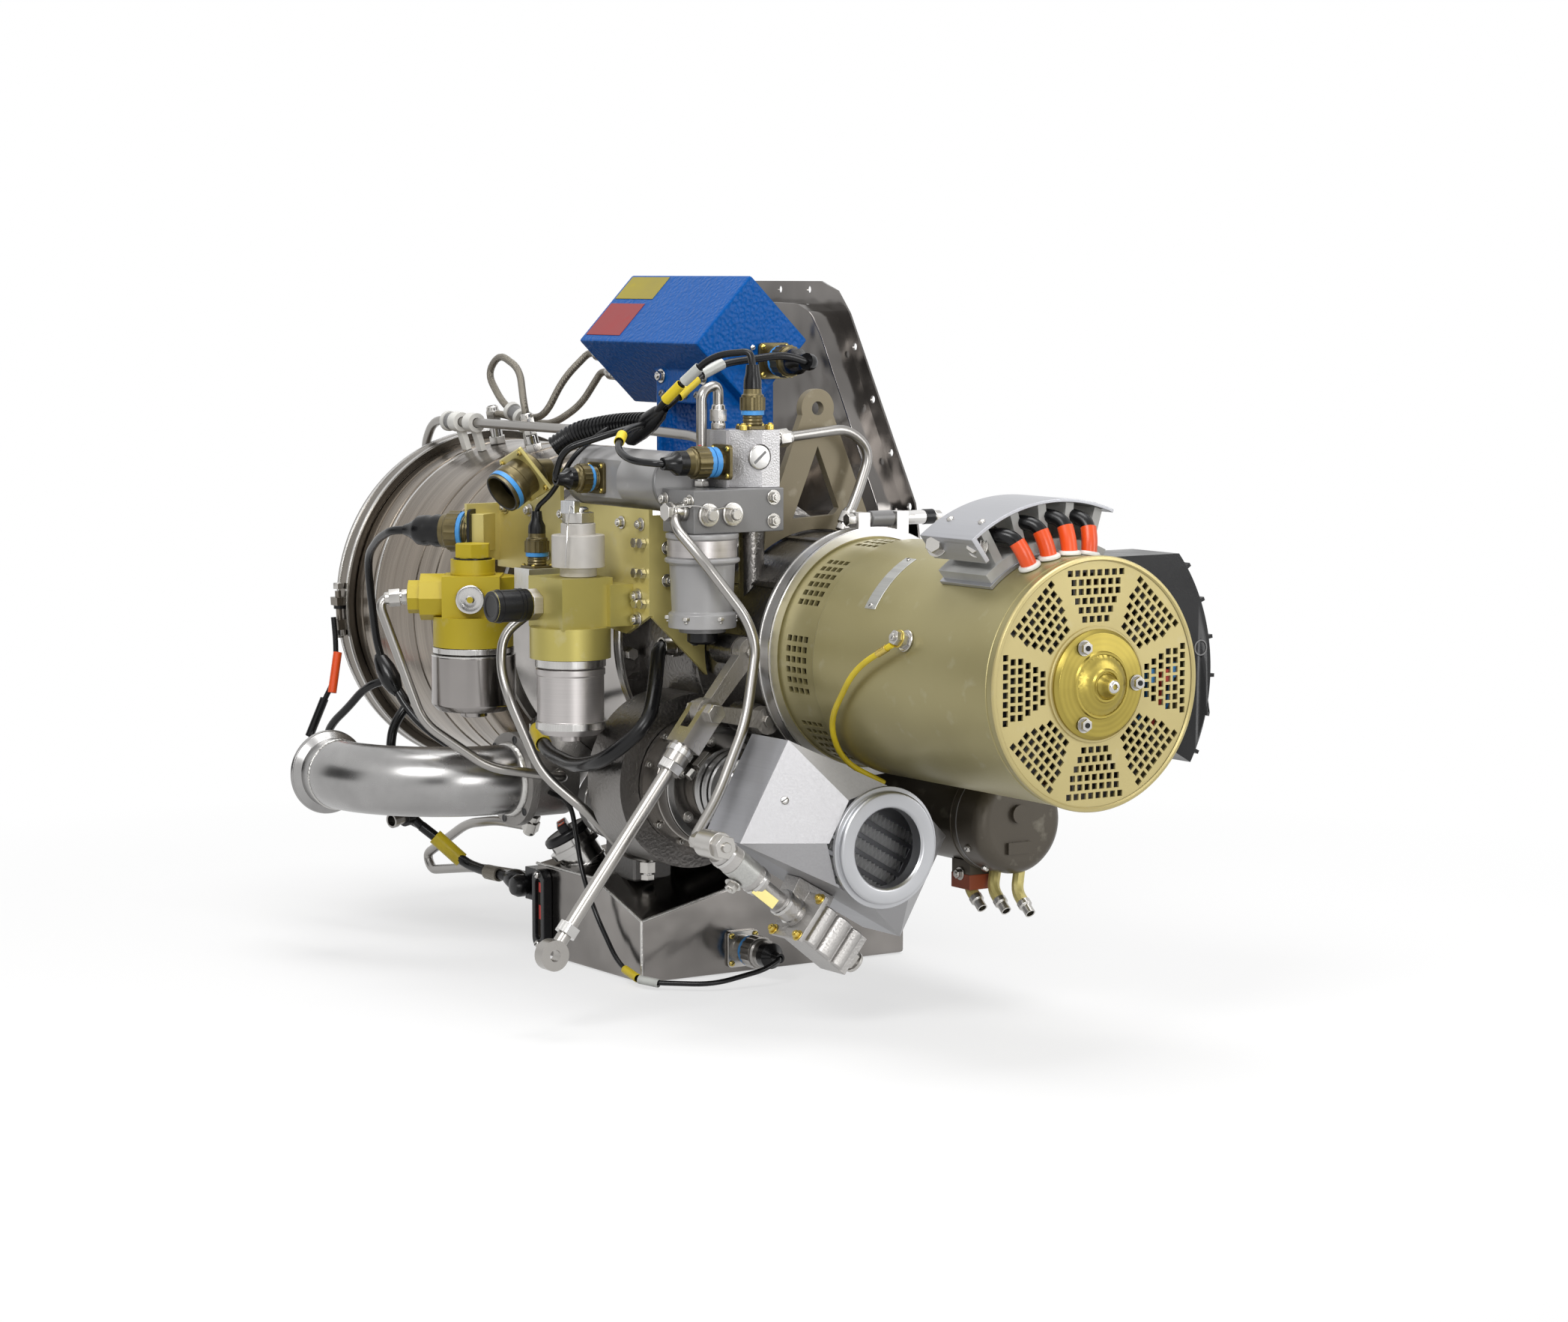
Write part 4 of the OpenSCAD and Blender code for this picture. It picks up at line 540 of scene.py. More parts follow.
def as_piece(name, bm, finishes, body="unit", fold=SHARP):
    """Makes a mesh piece of the unit, smooth except at its sharp edges."""
    for face in bm.faces:
        face.smooth = True
    for edge in bm.edges:
        edge.smooth = edge.calc_face_angle(0) < fold
    mesh = bpy.data.meshes.new(name)
    bm.to_mesh(mesh)
    bm.free()
    for key in finishes:
        mesh.materials.append(finish[key].material)
    piece = bpy.data.objects.new(name, mesh)
    scene.collection.objects.link(piece)
    shading = piece.modifiers.new("flat_fields", "WEIGHTED_NORMAL")
    shading.keep_sharp = True
    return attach(piece, body)


def rounded(node, width, surface, fold=SHARP):
    """A copy of a solid with its edges broken by a bevel of that many millimetres."""
    bm = bmesh.new()
    bm.from_mesh(nodes[node].data)
    bmesh.ops.remove_doubles(bm, verts=bm.verts, dist=SAME_SPOT)
    bmesh.ops.dissolve_limit(bm, angle_limit=SAME_PLANE, verts=bm.verts, edges=bm.edges)
    if node == "inlet_plenum":
        pressed_pan(bm)
    bevel(bm, sharp_edges(bm, fold), width * MM, 2)
    piece = as_piece(node + "_dressed", bm, [surface], bodies_of[node], fold)
    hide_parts(node)


# %% [markdown]
# The inlet pan is pressed from sheet, so the corners of its dish and the edge round its floor have
# wide curves, inside and outside. The edges are found by where they lie and how their faces look.

# %% Pressed pan
PAN_MIDDLE = Vector((0.4, 0, 0.11))
PAN_FLOOR, PAN_SHEET = 0.150, 2 * MM
PAN_CORNER, PAN_INSIDE, PAN_OUTSIDE = 11 * MM, 9 * MM, 7 * MM
PAN_STEPS = 4


def pan_rim(bm, level, side):
    """The edges where the floor meets the wall, on one side of the sheet."""
    for e in bm.edges:
        if not e.is_manifold or any(abs(v.co.y - level) > 0.2 * MM for v in e.verts):
            continue
        flat = [f for f in e.link_faces if f.normal.y * side > 0.9]
        wall = [f for f in e.link_faces if abs(f.normal.y) < 0.1]
        outward = (e.verts[0].co + e.verts[1].co) / 2 - PAN_MIDDLE
        if flat and wall and wall[0].normal.dot(outward) * side < 0:
            yield e


def pressed_pan(bm):
    upright = [e for e in bm.edges if min(v.co.y for v in e.verts) > PAN_FLOOR - MM
               and e.calc_face_angle(0) > 0.2
               and abs(e.verts[0].co.y - e.verts[1].co.y) > 20 * MM]
    bevel(bm, upright, PAN_CORNER, PAN_STEPS)
    bevel(bm, list(pan_rim(bm, PAN_FLOOR, -1)), PAN_INSIDE, PAN_STEPS)
    bevel(bm, list(pan_rim(bm, PAN_FLOOR + PAN_SHEET, 1)), PAN_OUTSIDE, PAN_STEPS)
    print("pan:", len(upright), "corner edges rounded")


# %% [markdown]
# Each solid gets the width of its bevel and its finish. Pressed and thin parts have narrow bevels,
# forgings and cast boxes wide ones. What lies inside, and the screen with its many holes, keeps
# the solid's own mesh.

# %% Finishes of the solids
SHEET_FOLD = math.radians(9)
rounded_nodes = {
    "exciter_box": (3.0, "blue_enamel"), "manifold_block": (1.2, "dark_enamel"),
    "valve_block": (1.0, "milled_block"), "oil_tank": (3.0, "tank_steel"),
    "lug_plate": (0.8, "lug_tan"), "filter_bracket": (0.6, "bracket_olive"),
    "fuel_filter_head": (1.2, "fuel_yellow"), "oil_filter_head": (1.2, "oil_olive"),
    "fuel_filter_bowl": (1.0, "dark_bowl"), "oil_filter_bowl": (0.3, "bowl_alloy"),
    "pressure_switch": (1.0, "switch_white"), "fuel_control": (1.5, "grey_enamel"),
    "fuel_pump": (0.8, "grey_enamel"), "gearbox_housing": (1.0, "grey_casting"),
    "compressor_case": (0.8, "case_steel"), "combustor_casing": (0.6, "drum_steel"),
    "combustor_clamp": (0.8, "bronzed_steel"), "exhaust_duct": (0.6, "hot_steel"),
    "inlet_plenum": (0.6, "pan_steel"), "fan_scroll": (1.0, "scroll_alloy"),
    "cooler_bellows": (0.4, "duct_steel"), "oil_cooler": (0.6, "cover_alloy"),
    "cooler_duct": (0.4, "folded_sheet"), "regulator": (1.0, "pale_casting"),
    "generator_clamp": (0.7, "band_alloy"), "end_bell": (1.0, "dark_casting"),
    "hub_cover": (1.0, "hub_gold"), "terminal_block": (1.0, "pale_post"),
    "terminal_cover": (0.6, "cover_alloy"), "air_scoop": (1.2, "black_plastic"),
    "starter_motor": (1.0, "starter_brown"), "filler_neck": (0.8, "bright_steel"),
    "sight_gauge": (1.0, "black_plastic"), "bleed_valve": (1.0, "valve_casting"),
    "bleed_duct": (0.6, "duct_steel"), "strut_bracket": (1.6, "forging"),
    "strut": (1.0, "strut_steel"), "tube_clips": (0.8, "white_plastic"),
    "fasteners": (0.5, "plated_steel"),
}
for node, (width, surface) in rounded_nodes.items():
    rounded(node, width, surface, SHEET_FOLD if node == "cooler_duct" else SHARP)

plain_nodes = {
    "combustor_liner": "hot_steel", "turbine_wheel": "hot_steel", "rotor_shaft": "turned_steel",
    "impeller": "turned_alloy", "lay_gear": "turned_steel", "output_gear": "turned_steel",
    "fan_gear": "turned_steel", "cooling_fan": "turned_alloy",
    "generator_housing": "generator_olive", "generator_screen": "screen_olive",
    "generator_stator": "copper_winding", "generator_rotor": "dark_casting",
}
for node, surface in plain_nodes.items():
    nodes[node].data.materials.clear()
    nodes[node].data.materials.append(finish[surface].material)
print(len(rounded_nodes), "rounded and", len(plain_nodes), "plain solids")

# %% [markdown]
# The fittings are too small for a drawing: bolts, nuts, plugs, tubes, wires and sleeves. Most are
# turned, so they are drawn as profiles of (radius, height) in millimetres. Two profiles come so
# often that they have names: a plain disc, and a hoop, which is a ring whose edges may slope.
# Directions are named as the photograph shows them.

# %% Profiles and directions
BREAK = 0.35
FRONT, NEAR, UP = Vector((1, 0, 0)), Vector((0, -1, 0)), Vector((0, 0, 1))


def disc(radius, start, end):
    return [(0, start), (radius, start), (radius, end), (0, end)]


def hoop(inner, outer, start, end, slope=0.0):
    return [(inner, start), (outer, start + slope), (outer, end - slope), (inner, end)]


def heading(start, end):
    return (Vector(end) - Vector(start)).normalized()


def facing(along, turn=0.0):
    """Turns a shape that stands on Z to a direction, with its own Y kept upwards."""
    z = Vector(along).normalized()
    x = Vector(UP if abs(z.z) < 0.9 else (0, 1, 0)).cross(z).normalized()
    aim = Matrix((x, z.cross(x), z)).transposed().to_4x4()
    return aim @ Matrix.Rotation(math.radians(turn), 4, "Z")


def polar(x, radius, angle):
    """A place at an angle round the rotor axis, from the top towards the near side."""
    a = math.radians(angle)
    return Vector((x, -radius * math.sin(a), radius * math.cos(a)))


def spaced(count, first):
    """Cosine and sine of angles in degrees that are spaced evenly round a circle."""
    for k in range(count):
        a = math.radians(360 / count * k + first)
        yield math.cos(a), math.sin(a)


print("hard edges are broken by", BREAK, "mm")

# %% [markdown]
# A tube, hose or lead is given by the points where it changes direction. A route puts a smooth
# curve in place of each corner, and tells the place and heading at any share of its length, which
# is where sleeves and clips sit.

# %% Routes
BEND_STEPS = 6
BEND_SHARE = 0.48


def rounded_route(points, bend):
    """The route through the points, with a curve in place of each corner."""
    points = [Vector(p) for p in points]
    path = [points[0]]
    for before, here, after in zip(points, points[1:], points[2:]):
        reach = min(bend, (here - before).length * BEND_SHARE, (after - here).length * BEND_SHARE)
        start = here + heading(here, before) * reach
        end = here + heading(here, after) * reach
        for k in range(BEND_STEPS + 1):
            t = k / BEND_STEPS
            path.append(start.lerp(here, t).lerp(here.lerp(end, t), t))
    return path + [points[-1]]


def along_route(points, bend, share):
    """The place and heading at a share of the route's length."""
    path = rounded_route(points, bend)
    steps = [(b - a).length for a, b in zip(path, path[1:])]
    left = share * sum(steps)
    for a, b, step in zip(path, path[1:], steps):
        if left <= step:
            return a.lerp(b, left / step), heading(a, b)
        left -= step
    return path[-1], heading(path[-2], path[-1])


print(BEND_STEPS, "steps in a bend")

# %% [markdown]
# The fittings share a few basic shapes. A piece collects such shapes, each with its own finish,
# and becomes one mesh in the end. A lathe shape is a profile that `spin` turns round an axis, a
# hexagon is a cone operator with six sides, and every hard edge gets a small bevel, as on the
# solids.

# %% Basic shapes
GRIPS, GRIP_DEEP = 18, 0.94


class Shapes:
    """A mesh that is put together from basic shapes, each with its own finish."""

    def __init__(self, name, slot, body="unit"):
        self.name, self.slot, self.body = name, slot, body
        self.bm, self.surfaces = bmesh.new(), []

    def add(self, part, surface, place=(0, 0, 0), along=UP, turn=0.0):
        if surface not in self.surfaces:
            self.surfaces.append(surface)
        for face in part.faces:
            face.material_index = self.surfaces.index(surface)
        part.transform(Matrix.Scale(MM, 4) @ Matrix.Translation(place) @ facing(along, turn))
        mesh = bpy.data.meshes.new("part")
        part.to_mesh(mesh)
        part.free()
        self.bm.from_mesh(mesh)
        bpy.data.meshes.remove(mesh)

    def broken(self, part, edge):
        sharp = sharp_edges(part)
        if edge and sharp:
            bevel(part, sharp, edge, 1)

    def lathe(self, profile, surface, place, along, steps=24, edge=BREAK):
        """Turns a profile and stands it at a place, pointing along a direction."""
        part = bmesh.new()
        chain = [part.verts.new((r, 0, h)) for r, h in profile]
        edges = [part.edges.new(pair) for pair in zip(chain, chain[1:])]
        bmesh.ops.spin(part, geom=chain + edges, cent=(0, 0, 0), axis=UP, angle=math.tau,
                       steps=steps, use_merge=True)
        bmesh.ops.remove_doubles(part, verts=part.verts, dist=1e-4)
        bmesh.ops.recalc_face_normals(part, faces=part.faces)
        self.broken(part, edge)
        self.add(part, surface, place, along)

    def ring(self, x, profile, surface, steps=96, centre=(0, 0)):
        """A lathe shape round the rotor axis, or round an axis beside it."""
        self.lathe(profile, surface, (x, *centre), FRONT, steps, 0)

    def cone(self, segments, radius, height):
        part = bmesh.new()
        bmesh.ops.create_cone(part, cap_ends=True, segments=segments, radius1=radius,
                              radius2=radius, depth=height)
        bmesh.ops.translate(part, verts=part.verts, vec=(0, 0, height / 2))
        return part

    def hexagon(self, across, height, place, along, turn=0.0, surface="plated_steel"):
        part = self.cone(6, across / 2 / math.cos(math.pi / 6), height)
        self.broken(part, BREAK)
        self.add(part, surface, place, along, turn)

    def knurled(self, radius, height, surface, place, along):
        """A ring with grips: every second side of a cone is drawn in."""
        part = self.cone(2 * GRIPS, radius, height)
        spots = sorted(part.verts, key=lambda v: math.atan2(v.co.y, v.co.x))
        drawn_in = [v for k, v in enumerate(spots) if k % 4 < 2]
        bmesh.ops.scale(part, verts=drawn_in, vec=(GRIP_DEEP, GRIP_DEEP, 1))
        self.add(part, surface, place, along)

    def cube(self, size):
        part = bmesh.new()
        bmesh.ops.create_cube(part, size=1)
        bmesh.ops.scale(part, verts=part.verts, vec=size)
        bmesh.ops.translate(part, verts=part.verts, vec=(0, 0, size[2] / 2))
        return part

    def block(self, size, surface, place, along=UP, turn=0.0, edge=BREAK):
        """A block that stands on its middle at a place."""
        part = self.cube(size)
        self.broken(part, edge)
        self.add(part, surface, place, along, turn)

    def plate(self, outline, thick, surface, place, along, turn=0.0, edge=BREAK):
        """A flat sheet with an outline of (x, y) points."""
        part = bmesh.new()
        face = part.faces.new([part.verts.new((x, y, 0)) for x, y in outline])
        face.normal_update()
        if face.normal.z > 0:
            face.normal_flip()
        grown = bmesh.ops.extrude_face_region(part, geom=[face])
        top = [v for v in grown["geom"] if isinstance(v, bmesh.types.BMVert)]
        bmesh.ops.translate(part, verts=top, vec=(0, 0, thick))
        bmesh.ops.recalc_face_normals(part, faces=part.faces)
        self.broken(part, edge)
        self.add(part, surface, place, along, turn)


print("shapes ready")

# %% [markdown]
# With these shapes come the fittings that are used again and again: a bolt on its washer, a
# slotted screw, a tube that follows a route, and a sleeve over a lead. The tube is a curve with a
# round section, turned into a mesh. The finished piece rides on a body of the mechanism.

# %% Fittings
class Piece(Shapes):
    """Shapes and fittings that become one piece of the unit."""

    def bolt(self, place, along, across=8.0, height=5.0, surface="plated_steel", washer=1):
        """A hexagon head with the end of its thread, on a washer 1 mm thick or on none."""
        spot, way = Vector(place), Vector(along).normalized()
        if washer:
            self.lathe(disc(across * 0.82, 0, washer), surface, spot, way, 16, 0.2)
        self.hexagon(across, height, spot + way * washer, way, 0, surface)
        r, top = across * 0.28, height + 1.3
        self.lathe([(r, height), (r, top), (0, top)], surface, spot + way, way, 12, 0.2)

    def screw(self, place, along, radius=3.0, surface="plated_steel"):
        """A round head with a slot, drawn as a black bar of painted shade."""
        r = radius
        self.lathe([(r, 0), (r, r * 0.45), (r * 0.75, r * 0.75), (0, r * 0.85)], surface, place,
                   along, 16, 0)
        spot = Vector(place) + Vector(along).normalized() * r * 0.72
        # The slot is a black bar on the head: painted shade where a cut would be.
        self.block((r * 1.5, r * 0.28, r * 0.2), "black_plastic", spot, along, 35, 0)

    def tube(self, points, radius, bend, surface, sides=4):
        """A round tube swept along a route whose corners are rounded."""
        curve = bpy.data.curves.new("route", "CURVE")
        curve.dimensions = "3D"
        curve.bevel_depth, curve.bevel_resolution, curve.use_fill_caps = radius, sides, True
        path = rounded_route(points, bend)
        spline = curve.splines.new("POLY")
        spline.points.add(len(path) - 1)
        for spot, p in zip(spline.points, path):
            spot.co = (*p, 1)
        holder = bpy.data.objects.new("route", curve)
        part = bmesh.new()
        part.from_mesh(holder.to_mesh())
        holder.to_mesh_clear()
        bpy.data.objects.remove(holder)
        bpy.data.curves.remove(curve)
        bmesh.ops.remove_doubles(part, verts=part.verts, dist=1e-4)
        bmesh.ops.recalc_face_normals(part, faces=part.faces)
        self.add(part, surface)

    def sleeve(self, route, bend, share, radius, length, surface):
        """A thin sleeve over a lead, at a share of its route."""
        spot, way = along_route(route, bend, share)
        self.lathe(hoop(radius - 0.6, radius, -length / 2, length / 2), surface, spot, way, 16, 0.1)

    def done(self, *replaced):
        piece = as_piece(self.name, self.bm, self.surfaces, self.body)
        if replaced:
            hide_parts(*replaced)
        print(self.name, len(piece.data.polygons), "faces,", len(self.surfaces), "finishes")


print("fittings ready")

# %% [markdown]
# Fuel, oil and air run in bent stainless tubes. Each end has a flare nut: a long hexagon, a collar,
# and a short hexagon of the fitting that it screws on. The routes are those of the solids, point
# by point, so a tube stays where its solid is, but it is rounder and its bends are smoother.

# %% Steel tubes
TUBE_R = 4.5
tube_routes = [
    (20, [(690, -158.2, 122), (704, -168, 110), (728, -158, 86), (752, -128, 36), (758, -122, 12),
          (770, -140, -50), (784, -178, -110), (790, -203, -138), (798, -204, -141),
          (810.5, -204, -141)]),
    (16, [(378, -249, 32), (364, -272, 30), (404, -248, -80), (438, -200, -120), (456, -128, -133),
          (422.3, -128, -133)]),
    (18, [(553.5, -212, 30), (540, -212, 30), (530, -236, 10), (532, -240, -18), (546, -240, -44),
          (560, -216, -110), (580, -180, -146), (560, -130, -188), (530, -90, -199),
          (530, -90, -219)]),
    (18, [(378, -120, -176.5), (372, -120, -188), (308, -120, -190), (250, -120, -200),
          (168, -120, -240), (178, -120, -254), (260, -118, -241), (340, -104, -240),
          (390.5, -104, -240)]),
    (18, [(653.5, -84, 172), (636, -84, 172), (590, -76, 180), (500, -70, 182), (340, -60, 177),
          (78, -60, 177), (52, -56, 150), (55, -52, 120)]),
    (20, [(686, -59.5, 180), (686, 20, 188), (686, 44, 168), (686, 30, 130), (686, 14, 99)]),
    (10, [(662, -115, 140.5), (662, -115, 222), (662, -98, 228), (662, -98, 189.5)]),
]
BARE_START, BARE_END = 0, 4


def flare_nut(piece, end, inward, size=14.0):
    """The nut at a tube's end, with the end of its fitting."""
    spot, way = Vector(end), heading(end, inward)
    piece.hexagon(size * 0.86, 5, spot, way)
    piece.lathe(disc(size * 0.4, 4.5, 7), "bright_steel", spot, way, 16, 0)
    piece.hexagon(size, 10, spot + way * 6.5, way)
    piece.lathe([(TUBE_R, 16), (TUBE_R + 1.6, 16), (TUBE_R + 1.2, 20), (TUBE_R - 0.2, 21)],
                "plated_steel", spot, way, 16)


tubes = Piece("steel_tube_set", "bright_steel")
for number, (bend, points) in enumerate(tube_routes):
    tubes.tube(points, TUBE_R, bend, "tube_steel")
    if number != BARE_START:
        flare_nut(tubes, points[0], points[1])
    if number != BARE_END:
        flare_nut(tubes, points[-1], points[-2])
tubes.lathe([(0, 0), (8.4, 0), (8.4, 3), (7.6, 4), (7.6, 11), (8.4, 12), (8.4, 14), (0, 14)],
            "plated_steel", (690, -150.2, 122), NEAR)
tubes.hexagon(14, 5.5, (690, -164.2, 122), NEAR)
tubes.done("steel_tubes")

# %% [markdown]
# The oil hose is rubber with a pressed metal collar at each end, and a plain yellow sleeve.

# %% Oil hose
HOSE_R, HOSE_BEND = 6.5, 26
hose_route = [(616, -110.5, 0), (616, -130, 0), (644, -152, -36), (666, -172, -60),
              (636, -196, -92), (580, -192, -104), (500, -174, -102), (440, -150, -92),
              (404, -130, -86), (404, -130, -105)]
hose = Piece("oil_hose_rubber", "black_rubber")
hose.tube(hose_route, HOSE_R, HOSE_BEND, "black_rubber")
for end, inward in (hose_route[:2], hose_route[:-3:-1]):
    way = heading(end, inward)
    hose.hexagon(17, 6, end, way)
    hose.lathe([(6.6, 5), (8.4, 5), (8.4, 9), (7.8, 10), (7.8, 16), (8.4, 17), (6.6, 17)],
               "plated_steel", end, way, 20)
hose.lathe(hoop(6.6, 7.4, -24, 24), "yellow_sleeve", *along_route(hose_route, HOSE_BEND, 0.83), 20,
           0.1)
hose.done("oil_hose")

# %% [markdown]
# The wiring loom is a bundle in black sleeving that branches to the plugs. A lump of shrink tube
# sits where it divides, ribbed tubing covers its thick part, and yellow sleeves sit where a wire
# would carry its number: they stay plain here. A lead is drawn a little thinner than its solid,
# as the photograph shows it.

# %% Wiring loom
LEAD_SHARE = 0.76
TRUNK_R, TRUNK_BEND = 9.0, 20
RIB_PITCH = 4.0
trunk_end = (580, -118, 192)
trunk = [(490, -161.2, 168), (502, -144, 182), (540, -126, 190), trunk_end]
lead_table = {
    "box": (4.5, 30, [trunk_end, (600, -104, 212), (592, -60, 242), (600, 10, 250),
        (600.2, 36, 243), (590.2, 42, 243), (578.7, 42, 243)]),
    "valve": (4.0, 24, [trunk_end, (610, -118, 214), (650, -96, 252), (678, -76, 255.2),
        (682, -76, 245.2), (682, -76, 233.7)]),
    "control": (4.0, 20, [trunk_end, (585, -150, 186), (556, -190, 170), (550, -195.2, 144),
        (550, -183.7, 144)]),
    "manifold": (4.0, 16, [(683, -156.7, 162.2), (683, -170.2, 162.2), (660, -184, 164),
        (630, -180, 172), (600, -156, 186), trunk_end]),
    "filter": (3.0, 14, [(494, -181, 102.5), (494, -181, 116), (514, -176, 130), (534, -166, 164),
        (540, -140, 184), (540, -126, 190)]),
    "fuel": (5.0, 34, [(322.2, -219.2, 88), (308, -228, 87), (275, -224, 78), (228, -212, 58),
        (212, -200, 16), (206, -190, -40), (250, -176, -100), (310, -128, -142),
        (349.4, -128, -142)]),
    "drum": (3.5, 24, [(89, -178, -12), (92, -177, -40), (99, -182, -71), (92, -192, -95),
        (86, -200, -118), (90, -208, -145), (150, -214, -166), (230, -190, -172),
        (310, -112, -152), (350.4, -112, -152)]),
    "tank": (3.0, 18, [(629.7, -20, -281), (641.2, -20, -281), (646, -40, -288), (640, -90, -297),
        (598, -136, -297), (556, -136, -288), (514, -134, -250), (500, -140, -214),
        (460, -128, -154), (422, -128, -150)]),
}
sleeve_table = (
    ("box", 0.24, 26, "yellow_sleeve"), ("valve", 0.30, 22, "yellow_sleeve"),
    ("box", 0.40, 24, "clear_sleeve"), ("valve", 0.46, 20, "clear_sleeve"),
    ("manifold", 0.62, 16, "yellow_sleeve"), ("fuel", 0.919, 18, "yellow_sleeve"),
    ("drum", 0.125, 40, "orange_boot"), ("drum", 0.235, 40, "black_rubber"),
    ("drum", 0.62, 16, "yellow_sleeve"), ("tank", 0.42, 22, "yellow_sleeve"),
    ("tank", 0.36, 20, "clear_sleeve"))

loom = Piece("wiring_loom", "black_rubber")
loom.tube(trunk, TRUNK_R, TRUNK_BEND, "black_rubber")
for radius, bend, points in lead_table.values():
    loom.tube(points, LEAD_SHARE * radius, bend, "black_rubber")
path = rounded_route(trunk, TRUNK_BEND)
trunk_length = sum((b - a).length for a, b in zip(path, path[1:]))
for k in range(int(trunk_length / RIB_PITCH)):
    spot, way = along_route(trunk, TRUNK_BEND, (k + 0.5) * RIB_PITCH / trunk_length)
    loom.lathe(hoop(TRUNK_R - 1, TRUNK_R + 0.9, -1.3, 1.3, 0.5), "black_rubber", spot, way, 18, 0)
loom.lathe([(4, -30), (7, -26), (9, -12), (9.4, 2), (7.4, 16), (4, 24)], "black_rubber", trunk_end,
           (0.8, 0.2, 0.55), 20, 0)
for lead, share, length, surface in sleeve_table:
    radius, bend, points = lead_table[lead]
    loom.sleeve(points, bend, share, LEAD_SHARE * radius + 1.6, length, surface)
loom.done("harness")

# %% [markdown]
# The igniter leads are braided steel. White spools with a dark core hold them, and the long air
# tube, off the drum.

# %% Igniter leads
BRAID_R = 3.5
long_lead = [(303.3, -8, 246), (291.8, -8, 246), (276, -26, 222), (264, -40, 186), (222, -40, 182),
             (186, -42, 196), (156, -42, 224), (180, -42, 244), (220, -42, 230),
             polar(246, 202, 15), polar(246, 174.5, 15)]
short_lead = [(303.3, 6, 228), (291.8, 6, 228), (270, -4, 196), (250, -22, 178), (204, -26, 178),
              (166, -28, 184), polar(150, 188, 10), polar(150, 174.5, 10)]
leads = Piece("igniter_leads", "braid")
for bend, points in ((16, long_lead), (14, short_lead)):
    leads.tube(points, BRAID_R, bend, "braid")
    flare_nut(leads, points[-1], points[-2], 13.0)
for spot, way, r in (((119, -60, 177), FRONT, TUBE_R),
                     (*along_route(short_lead, 14, 0.66), BRAID_R),
                     (*along_route(long_lead, 16, 0.40), BRAID_R)):
    for end in (-1, 1):
        leads.lathe([(r, -2.6), (r + 4.8, -2.6), (r + 5.4, -1.6), (r + 5.4, 1.6), (r + 4.8, 2.6),
                     (r, 2.6)], "white_plastic", Vector(spot) + way * 8.6 * end, way, 28, 0)
    leads.lathe(hoop(r, r + 3.6, -7, 7, 0.6), "dark_enamel", spot, way, 28, 0)
leads.done("ignition_leads")

# %% [markdown]
# More leads hang on the left: the lead from the fuel plug has a lump of shrink tube under the drum,
# and two cables run on from it, behind the bleed duct and down to the sensor block on the tank. A
# yellow sleeve holds them together, and a small drain pipe is clipped to them.

# %% Lower leads
LOWER_BEND = 16
lower = Piece("lower_leads", "black_rubber")
_, fuel_bend, fuel_lead = lead_table["fuel"]
lump_at, lump_way = along_route(fuel_lead, fuel_bend, 0.554)
lower.lathe([(4, -22), (7, -17), (9.5, -6), (10, 6), (7.5, 16), (4, 22)], "black_rubber", lump_at,
            lump_way, 20, 0)
join_at = Vector((240, -164, -200))
tank_cable = [join_at, (248, -150, -213), (254, -139, -225), (268, -130, -236), (297, -126, -239),
              (335, -122, -240), (362, -118, -243)]
for radius, points in (
        (3.9, [lump_at, (209, -180, -63), (198, -190, -66), (181, -195, -75), (162, -200, -92),
               (140, -205, -108), (125, -205, -122), (140, -200, -160), (190, -184, -184),
               join_at]),
        (4.6, [lump_at, (238, -176, -84), (236, -185, -95), (233, -190, -108), (234, -193, -126),
               (230, -186, -160), (232, -174, -188), join_at]),
        (5.0, tank_cable)):
    lower.tube(points, radius, LOWER_BEND, "black_rubber")
lower.sleeve(tank_cable, LOWER_BEND, 0.22, 7.4, 34, "yellow_sleeve")
lower.lathe([(5, -14), (7, -12), (9.6, -4), (10, 3), (8, 10), (5, 13)], "black_rubber",
            (346, -121, -241), (1, 0.1, -0.05), 24, 0)
lower.lathe(hoop(5, 7, -10, 10), "braid", (310, -125, -239.4), (1, 0.1, 0), 20, 0.3)
pipe_at, pipe_way = Vector((232, -170, -190)), Vector((0.25, -1, -0.12)).normalized()
lower.lathe([(0, 0), (6, 0), (6, 20), (7.2, 20.4), (7.2, 26), (5.2, 26), (5.2, 12), (0, 12)],
            "tube_steel", pipe_at, pipe_way, 28)
lower.lathe(hoop(6, 9, 2, 11), "black_rubber", pipe_at, pipe_way)
lower.done()

# %% [markdown]
# A circular connector is a small lathe work of its own: a square flange held by four screws, a
# threaded shell, a coloured band that shows when the ring is locked, a knurled coupling ring, a
# back shell, and a rubber boot over the wires. One function makes them all, since only their size
# and colours differ.

# %% Circular connectors
FLANGE = 3


def square_flange(piece, r, surface, spot, way):
    part = piece.cube((2.5 * r, 2.5 * r, FLANGE))
    corners = [e for e in part.edges if abs(e.verts[0].co.z - e.verts[1].co.z) > 1]
    bevel(part, corners, 0.3 * r, 3)
    piece.broken(part, 0.3)
    piece.add(part, surface, spot, way)
    aim = facing(way)
    for x, y in product((-0.96 * r, 0.96 * r), repeat=2):
        piece.screw(spot + aim @ Vector((x, y, FLANGE)), way, 0.2 * r, "gilt")


